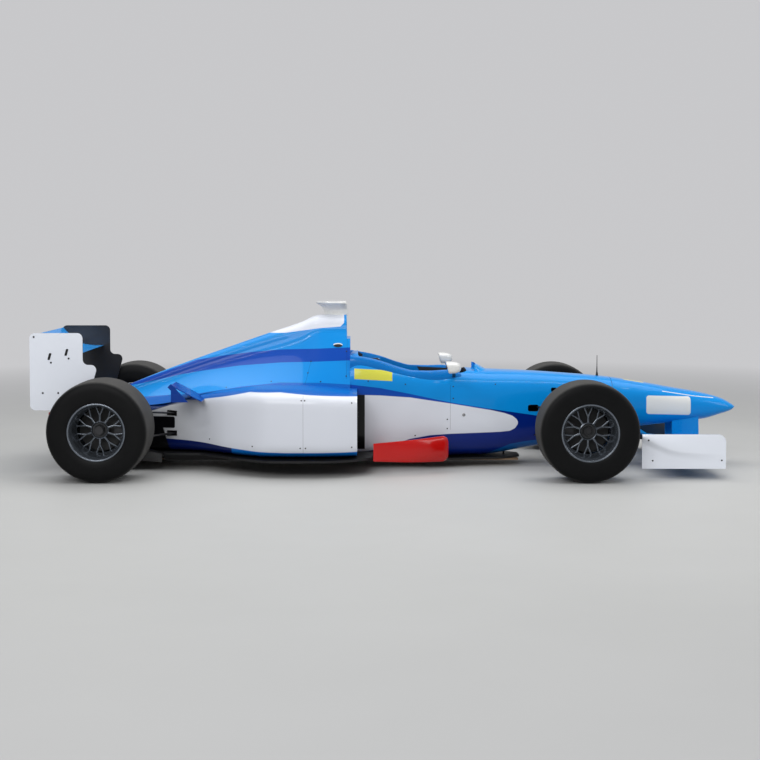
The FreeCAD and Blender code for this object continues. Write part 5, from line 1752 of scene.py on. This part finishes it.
# %% Buttons, panel and column
button_profile = [(0.0, 0.0075), (0.006, 0.0075), (0.0075, 0.006)]
column_profile = [(0.0, 0.030), (0.024, 0.030), (0.034, 0.018), (0.036, 0.0138), (0.262, 0.0138)]
button_red = plain("button_red", (0.42, 0.010, 0.008, 1), 0.35)
button_green = plain("button_green", (0.015, 0.22, 0.045, 1), 0.35)
for name, finish, places in (("buttons_red", button_red, ((-0.038, 0.045), (0.030, -0.048))),
                             ("buttons_green", button_green, ((0.038, 0.045), (-0.030, -0.048)))):
    forms = [turned_across(Vector((0.007, across, up)), Vector((-1, 0, 0)), button_profile, 20)
             for across, up in places]
    piece(name, *leaned(joined(forms)), finish, "steering_wheel", "wheel_grip")
panel = rounded(rectangle(-0.030, 0.030, -0.018, 0.020), 0.005, 5)
piece("wheel_panel", *leaned(slab(panel, -0.002, 0.007, axis=0)), stud_black, "steering_wheel", "wheel_grip")
column = turned_across(wheel_place + column_way * 0.012, column_way, column_profile)
piece("wheel_column", *column, steel, "steering_wheel", "wheel_grip")
print("faces of the column:", len(column[1]))

# %% [markdown]
# Round the driver's head lies a horseshoe of soft foam in a tight cover. It is swept from a rounded section
# that bulges between its seams, and it sags a little where the head rests. A simulated cushion would swell
# the same way, but foam this stiff hardly moves, so shallow folds from a noise are enough.

# %% Headrest
arm_end = -0.0560
horseshoe_rear = -0.1905
horseshoe_half_width = 0.186
horseshoe_corner = 0.058
pad_half_thickness = 0.027
pad_half_height = 0.046
pad_middle = 0.6585
pad_squareness = 2 / 0.55


def pad_section(turn, thick, high, bulge):
    """One point of a stuffed section: a rounded box that swells between its edges."""
    across = rounded_power(math.cos(turn), pad_squareness)
    up = rounded_power(math.sin(turn), pad_squareness)
    return across * thick * (1 + bulge * (1 - up * up)), up * high * (1 + bulge * (1 - across * across))


def horseshoe_path(steps=20):
    """The middle line of the headrest: along one arm, round behind the head and back."""
    straight = arm_end - horseshoe_rear - horseshoe_corner
    points = [(arm_end - straight * step / steps, horseshoe_half_width) for step in range(steps)]
    for step in range(steps + 1):
        turn = math.pi / 2 * step / steps
        points.append((horseshoe_rear + horseshoe_corner * (1 - math.sin(turn)),
                       horseshoe_half_width - horseshoe_corner * (1 - math.cos(turn))))
    return points + [(x, -y) for x, y in reversed(points)]


def headrest_form(count=28):
    path = [Vector((x, y, 0)) for x, y in horseshoe_path()]
    rings = []
    last = len(path) - 1
    for index, centre in enumerate(path):
        along = (path[min(last, index + 1)] - path[max(0, index - 1)]).normalized()
        across = Vector((-along.y, along.x, 0))
        share = index / last
        end = min(1.0, (10 * min(share, 1 - share) + 0.12)) ** 0.5
        sag = 0.006 * math.exp(-((share - 0.5) / 0.10) ** 2)
        ring = []
        for turn in round_turns(count):
            wide, up = pad_section(turn, pad_half_thickness * end, pad_half_height * end, 0.08)
            ring.append(centre + across * wide + Vector((0, 0, pad_middle - sag + up)))
        rings.append(ring)
    return skin(rings)


headrest = piece("headrest_pad", *headrest_form(), pad_cloth, slot="padding", sharp=80)
folds = bpy.data.textures.new("folds", "CLOUDS")
folds.noise_scale = 0.05
smoother = headrest.modifiers.new("smooth", "SUBSURF")
smoother.levels = smoother.render_levels = 1
crease_noise = headrest.modifiers.new("folds", "DISPLACE")
crease_noise.texture = folds
crease_noise.strength = 0.003
apply_modifiers(headrest)
soften(headrest, 80)
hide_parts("headrest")
print("headrest faces:", len(headrest.data.polygons))

# %% [markdown]
# A thin liner of the same cloth lies in the seat. It follows the seat's own middle line, dips between its
# sides, and is sewn through in rows, so that small cushions stand between the seams. Between two seams cloth
# bulges like a sine, so nothing has to be simulated.

# %% Seat liner
seat_line = ((-0.142, 0.512), (-0.060, 0.395), (0.020, 0.285), (0.072, 0.206), (0.125, 0.172), (0.200, 0.166),
             (0.292, 0.166))
liner_half_width = 0.168
liner_thickness = 0.006
quilt_height = 0.004
quilt_rows = 9
quilt_columns = 3
liner_dish = 0.010


def along_seat(share):
    """A place on the middle line of the seat, from the top of the back to the front edge."""
    count = len(seat_line) - 1
    index = min(count - 1, int(share * count))
    part = share * count - index
    near, far = seat_line[index], seat_line[index + 1]
    return Vector((near[0] + (far[0] - near[0]) * part, 0, near[1] + (far[1] - near[1]) * part))


def liner_form(steps=48, across_steps=24):
    """A thin quilted cloth that lies in the seat: its height comes from rows of shallow quilting."""
    rings = []
    for step in range(steps + 1):
        share = step / steps
        centre = along_seat(share)
        ahead_point = along_seat(min(1.0, share + 0.01)) - along_seat(max(0.0, share - 0.01))
        normal = Vector((-ahead_point.z, 0, ahead_point.x)).normalized()
        top = []
        for index in range(across_steps + 1):
            y = -liner_half_width + 2 * liner_half_width * index / across_steps
            along_wave = abs(math.sin(math.pi * share * quilt_rows))
            across_wave = abs(math.sin(math.pi * index / across_steps * quilt_columns))
            dish = liner_dish * (y / liner_half_width) ** 2
            height = 0.004 + quilt_height * along_wave * across_wave + dish
            top.append(centre + normal * height + Vector((0, y, 0)))
        bottom = [point - normal * liner_thickness for point in reversed(top)]
        rings.append(top + bottom)
    return skin(rings)


liner = piece("seat_liner", *liner_form(), pad_cloth, slot="padding", sharp=80)
print("liner faces:", len(liner.data.polygons))

# %% [markdown]
# Belts are wide webbing: a flat band swept along a smooth curve through a few points. Two come over the back
# of the seat, two from its sides and one from between the legs, to one round buckle. A bevelled curve would
# twist at the bends, so each section is turned towards the side that the strap lies on.

# %% Belts and buckle
strap_half_thickness = 0.0012
curve_steps = 8


def on_curve(before, start, end, after, t):
    """A point between start and end on a smooth curve that passes through both."""
    bend = 2 * before - 5 * start + 4 * end - after
    twist = 3 * start - before - 3 * end + after
    return 0.5 * (2 * start + (end - before) * t + bend * t**2 + twist * t**3)


def strap(points, width, lie):
    """Webbing along a path: a flat band with its width across the path and its face towards lie."""
    path = [Vector(point) for point in points]
    dense = []
    for index in range(len(path) - 1):
        before = path[max(0, index - 1)]
        after = path[min(len(path) - 1, index + 2)]
        dense += [on_curve(before, path[index], path[index + 1], after, step / curve_steps)
                  for step in range(curve_steps)]
    dense.append(path[-1])
    rings = []
    last = len(dense) - 1
    for index, point in enumerate(dense):
        along = (dense[min(last, index + 1)] - dense[max(0, index - 1)]).normalized()
        across = along.cross(Vector(lie)).normalized() * width / 2
        up = across.cross(along).normalized() * strap_half_thickness
        rings.append([point - across - up, point + across - up, point + across + up, point - across + up])
    return skin(rings)


webbing = plain("webbing", (0.030, 0.050, 0.160, 1), 0.75, grain=1500.0, height=0.5)
straps = []
for side in (1, -1):
    over_shoulder = [(-0.150, side * 0.075, 0.530), (-0.128, side * 0.072, 0.518),
                     (-0.055, side * 0.062, 0.414), (0.030, side * 0.045, 0.300),
                     (0.082, side * 0.030, 0.236)]
    over_lap = [(0.045, side * 0.166, 0.262), (0.062, side * 0.120, 0.232), (0.082, side * 0.060, 0.222),
                (0.096, side * 0.030, 0.220)]
    straps.append(strap(over_shoulder, 0.045, (1, 0, 1)))
    straps.append(strap(over_lap, 0.042, (0.6, 0, 1)))
straps.append(strap([(0.100, 0.0, 0.216), (0.150, 0.0, 0.190), (0.220, 0.0, 0.182)], 0.040, (0, 0, 1)))
belts = piece("belts", *joined(straps), webbing, slot="padding", sharp=60)
buckle_profile = [(-0.004, 0.030), (0.008, 0.030), (0.012, 0.026), (0.012, 0.012), (0.016, 0.010)]
buckle_way = Vector((0.6, 0, 1)).normalized()
piece("belt_buckle", *turned_across(Vector((0.088, 0, 0.226)), buckle_way, buckle_profile, 36), steel,
      slot="steel_rod")
print("belt faces:", len(belts.data.polygons))

# %% [markdown]
# Quick-release studs hold the panels: small domed heads in rows along the seams. Each is set on its panel by
# a ray from the side, so it sits on the surface whatever the panel's shape. The grey cap on the tub is a
# larger dome set the same way.

# %% Studs and caps
dome_shape = ((-0.3, 1.0), (0.35, 1.0), (0.8, 0.8), (1.0, 0.4))


def dome(place, normal, radius, height, sides=12):
    """A flat-topped dome on a surface."""
    return turned_across(place, normal, [(up * height, radius * share) for up, share in dome_shape], sides)


stud_places = {
    "cover": (
        (-0.537, 0.714), (-0.556, 0.640), (-0.300, 0.620), (-0.298, 0.780), (-0.47, 0.585),
        (-0.80, 0.585), (-1.10, 0.545),
    ),
    "pod": (
        (-0.583, 0.500), (-0.561, 0.500), (-0.590, 0.196), (-0.556, 0.196), (-0.262, 0.196),
        (-0.262, 0.480), (-0.90, 0.200), (-1.20, 0.215),
    ),
    "tub": (
        (0.375, 0.268), (0.160, 0.223), (-0.154, 0.588), (0.094, 0.566), (0.415, 0.548), (0.415, 0.470),
        (0.375, 0.330), (0.70, 0.560), (1.42, 0.420), (1.575, 0.430), (1.42, 0.330), (1.575, 0.330),
    ),
}
panel_skins = {"cover": (cover, cover), "tub": (tub, tub),
               "pod": (pieces["sidepod_skin_left"], pieces["sidepod_skin_right"])}
stud_forms = []
for panel, places in stud_places.items():
    for made, side in zip(panel_skins[panel], (1, -1)):
        for x, z in places:
            target = nose if x > nose_joint else made
            place, normal = side_hit(target, x, z, side)
            if place is not None:
                stud_forms.append(dome(place, normal, 0.0048, 0.0022))
piece("panel_studs", *joined(stud_forms), stud_black, slot="steel_rod")
cap_forms = []
for side in (1, -1):
    place, normal = side_hit(tub, 0.486, 0.359, side)
    cap_forms.append(dome(place, normal, 0.011, 0.003, 24))
piece("tub_caps", *joined(cap_forms), steel, slot="steel_rod")
print("studs:", len(stud_forms))

# %% [markdown]
# The vent on the engine cover is a white brow over a dark mouth: the brow is a painted highlight on its lip,
# the mouth painted shade. Both are thin plates that follow the cover: an ellipse of points is laid on the
# panel by rays, and then given a thickness along the surface's own direction.

# %% Vent on the cover
def conformed(made, outline, side, proud, buried=0.003):
    """A thin plate that follows a panel: an outline of (x, z) laid on it by rays from the side."""
    top = []
    foot = []
    for x, z in outline:
        place, normal = side_hit(made, x, z, side)
        top.append(place + normal * proud)
        foot.append(place - normal * buried)
    return skin([foot, top])


def ellipse(x, z, half_length, half_height, steps=32):
    return [(x + half_length * math.cos(turn), z + half_height * math.sin(turn))
            for turn in round_turns(steps)]


# The white brows are painted highlights and the dark mouths painted shade.
vent_parts = (("vent_brows", (-0.356, 0.822, 0.031, 0.010), 0.0040, mirror_white, "mirror_white"),
              ("vent_mouths", (-0.356, 0.816, 0.028, 0.009), 0.0046, stud_black, "bare_black"))
for name, sizes, proud, finish, slot in vent_parts:
    forms = [conformed(cover, ellipse(*sizes), side, proud) for side in (1, -1)]
    piece(name, *joined(forms), finish, slot=slot)
print("points round a vent:", len(ellipse(0, 0, 1, 1)))

# %% [markdown]
# Bolts with flat heads hold the endplates of both wings. The two slanted slots in the rear plates show as
# short dark bars, so black bars of painted shade stand in for them. All are drawn on one side and mirrored.

# %% Endplate bolts and slots
rear_bolts = ((-2.325, 0.895), (-2.215, 0.728), (-2.100, 0.755), (-2.27, 0.530), (-2.17, 0.530),
              (-1.99, 0.60))
front_bolts = ((1.655, 0.118), (2.095, 0.120), (1.625, 0.250))
rear_slots = ((-2.232, 0.768), (-2.122, 0.795))

bolt_forms = [dome(Vector((x, 0.500, z)), Vector((0, 1, 0)), 0.0065, 0.003) for x, z in rear_bolts]
for x, z in front_bolts:
    place, normal = side_hit(front_plates, x, z, 1)
    bolt_forms.append(dome(place, normal, 0.0055, 0.003))
# Bars of painted shade stand in for the two slots.
for x, z in rear_slots:
    outline = rounded([(x - 0.006, z - 0.022), (x + 0.010, z - 0.022), (x + 0.022, z + 0.022),
                       (x + 0.006, z + 0.022)], 0.004, 4)
    bolt_forms.append(slab(outline, 0.498, 0.5015, axis=1))
piece("endplate_bolts", *mirrored(joined(bolt_forms)), stud_black, slot="steel_rod")
print("bolts and slots:", 2 * len(bolt_forms))

# %% [markdown]
# The stage is a pale floor that curves up into a backdrop far behind. Near the car it is lit like anything
# else and keeps the shadow; far away it turns into a plain bright wall, seen by the camera, in reflections
# and through glass, which gives no light to the car.

# %% Stage
floor_near = -30.0
bend_start = 9.0
bend_radius = 4.0
wall_height = 14.0


def stage_finish():
    """Pale to the eye, in reflections and through glass; the floor still shows the shadow."""
    finish = Finish("stage_pale", Roughness=0.55)
    grey = finish.noise(0.8, 3.0).mix((0.42, 0.42, 0.41, 1), (0.46, 0.46, 0.45, 1))
    finish.feed("Base Color", grey)
    finish.feed("Roughness", finish.noise(3.0, 5.0) * 0.15 + 0.5)
    seen = [finish.source.node("ShaderNodeLightPath", output=name)
            for name in ("Is Camera Ray", "Is Glossy Ray", "Is Transmission Ray")]
    pale = finish.source.node("ShaderNodeEmission", inputs={"Color": (0.60, 0.60, 0.615, 1), "Strength": 1.0})
    distance = (finish.x * finish.x + finish.y * finish.y).root()
    share = seen[0].either(seen[1]).either(seen[2]) * rise(distance, 6.6, 2.8) * 0.95
    lit = Socket(finish.tree, finish.shader.outputs[0])
    mixed = finish.source.node("ShaderNodeMixShader", inputs={0: share, 1: lit, 2: pale})
    output = finish.tree.nodes["Material Output"]
    finish.tree.links.new(mixed.socket, output.inputs["Surface"])
    return finish


outline = [(floor_near, 0.0)]
for step in range(13):
    turn = math.pi / 2 * step / 12
    outline.append((bend_start + bend_radius * math.sin(turn), bend_radius * (1 - math.cos(turn))))
outline.append((bend_start + bend_radius, wall_height))
points = [(x, y, z - 0.0005) for x in (-40.0, 40.0) for y, z in outline]
count = len(outline)
faces = [(index, index + 1, count + index + 1, count + index) for index in range(count - 1)]
mesh = bpy.data.meshes.new("stage_floor")
mesh.from_pydata(points, [], faces)
mesh.shade_smooth()
mesh.materials.append(stage_finish().material)
floor = bpy.data.objects.new("stage_floor", mesh)
bpy.context.collection.objects.link(floor)
floor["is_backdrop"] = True
print("points of the stage:", len(points))

# %% [markdown]
# Large soft lamps do the modelling of the body: a broad one above, one from the camera's side and a weaker
# one ahead of the nose. Two long thin tubes draw the bright streaks along the flanks. The world adds a faint
# cool light from everywhere, so that no shadow is black.

# %% Lamps and world
def lamp(name, place, target, size, power):
    data = bpy.data.lights.new(name, "AREA")
    data.shape = "RECTANGLE"
    data.size, data.size_y = size
    data.energy = power
    made = bpy.data.objects.new(name, data)
    made.location = place
    made.rotation_euler = (Vector(target) - Vector(place)).to_track_quat("-Z", "Y").to_euler()
    bpy.context.collection.objects.link(made)


lamp("lamp_above", (0.0, 0.5, 6.0), (0, 0, 0), (9.0, 5.0), 375)
lamp("lamp_camera_side", (-3.0, -9.0, 5.0), (0, 0, 0.4), (6.0, 3.0), 345)
lamp("lamp_nose", (7.0, -3.0, 3.5), (0, 0, 0.4), (3.5, 3.0), 110)
lamp("lamp_tube_rear", (-2.6, -2.8, 4.2), (-1.5, 0, 0.4), (2.6, 0.10), 26)
lamp("lamp_tube_front", (2.2, -2.8, 4.2), (0.8, 0, 0.4), (2.6, 0.10), 26)

world = bpy.data.worlds.new("studio")
world.use_nodes = True
sky = world.node_tree.nodes["Background"]
sky.inputs["Color"].default_value = (0.75, 0.78, 0.82, 1)
sky.inputs["Strength"].default_value = 0.45
bpy.context.scene.world = world
bpy.context.scene.view_settings.view_transform = "Standard"
print("lamps:", len(bpy.data.lights))

# %% [markdown]
# Last come the measures: the box of the frame and the box of what is shown, which has to stay inside it.

# %% Measures
visual_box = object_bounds()
sizes = {"cad": [list(corner) for corner in cad_box], "visual": [list(corner) for corner in visual_box]}
print("sizes:", sizes)
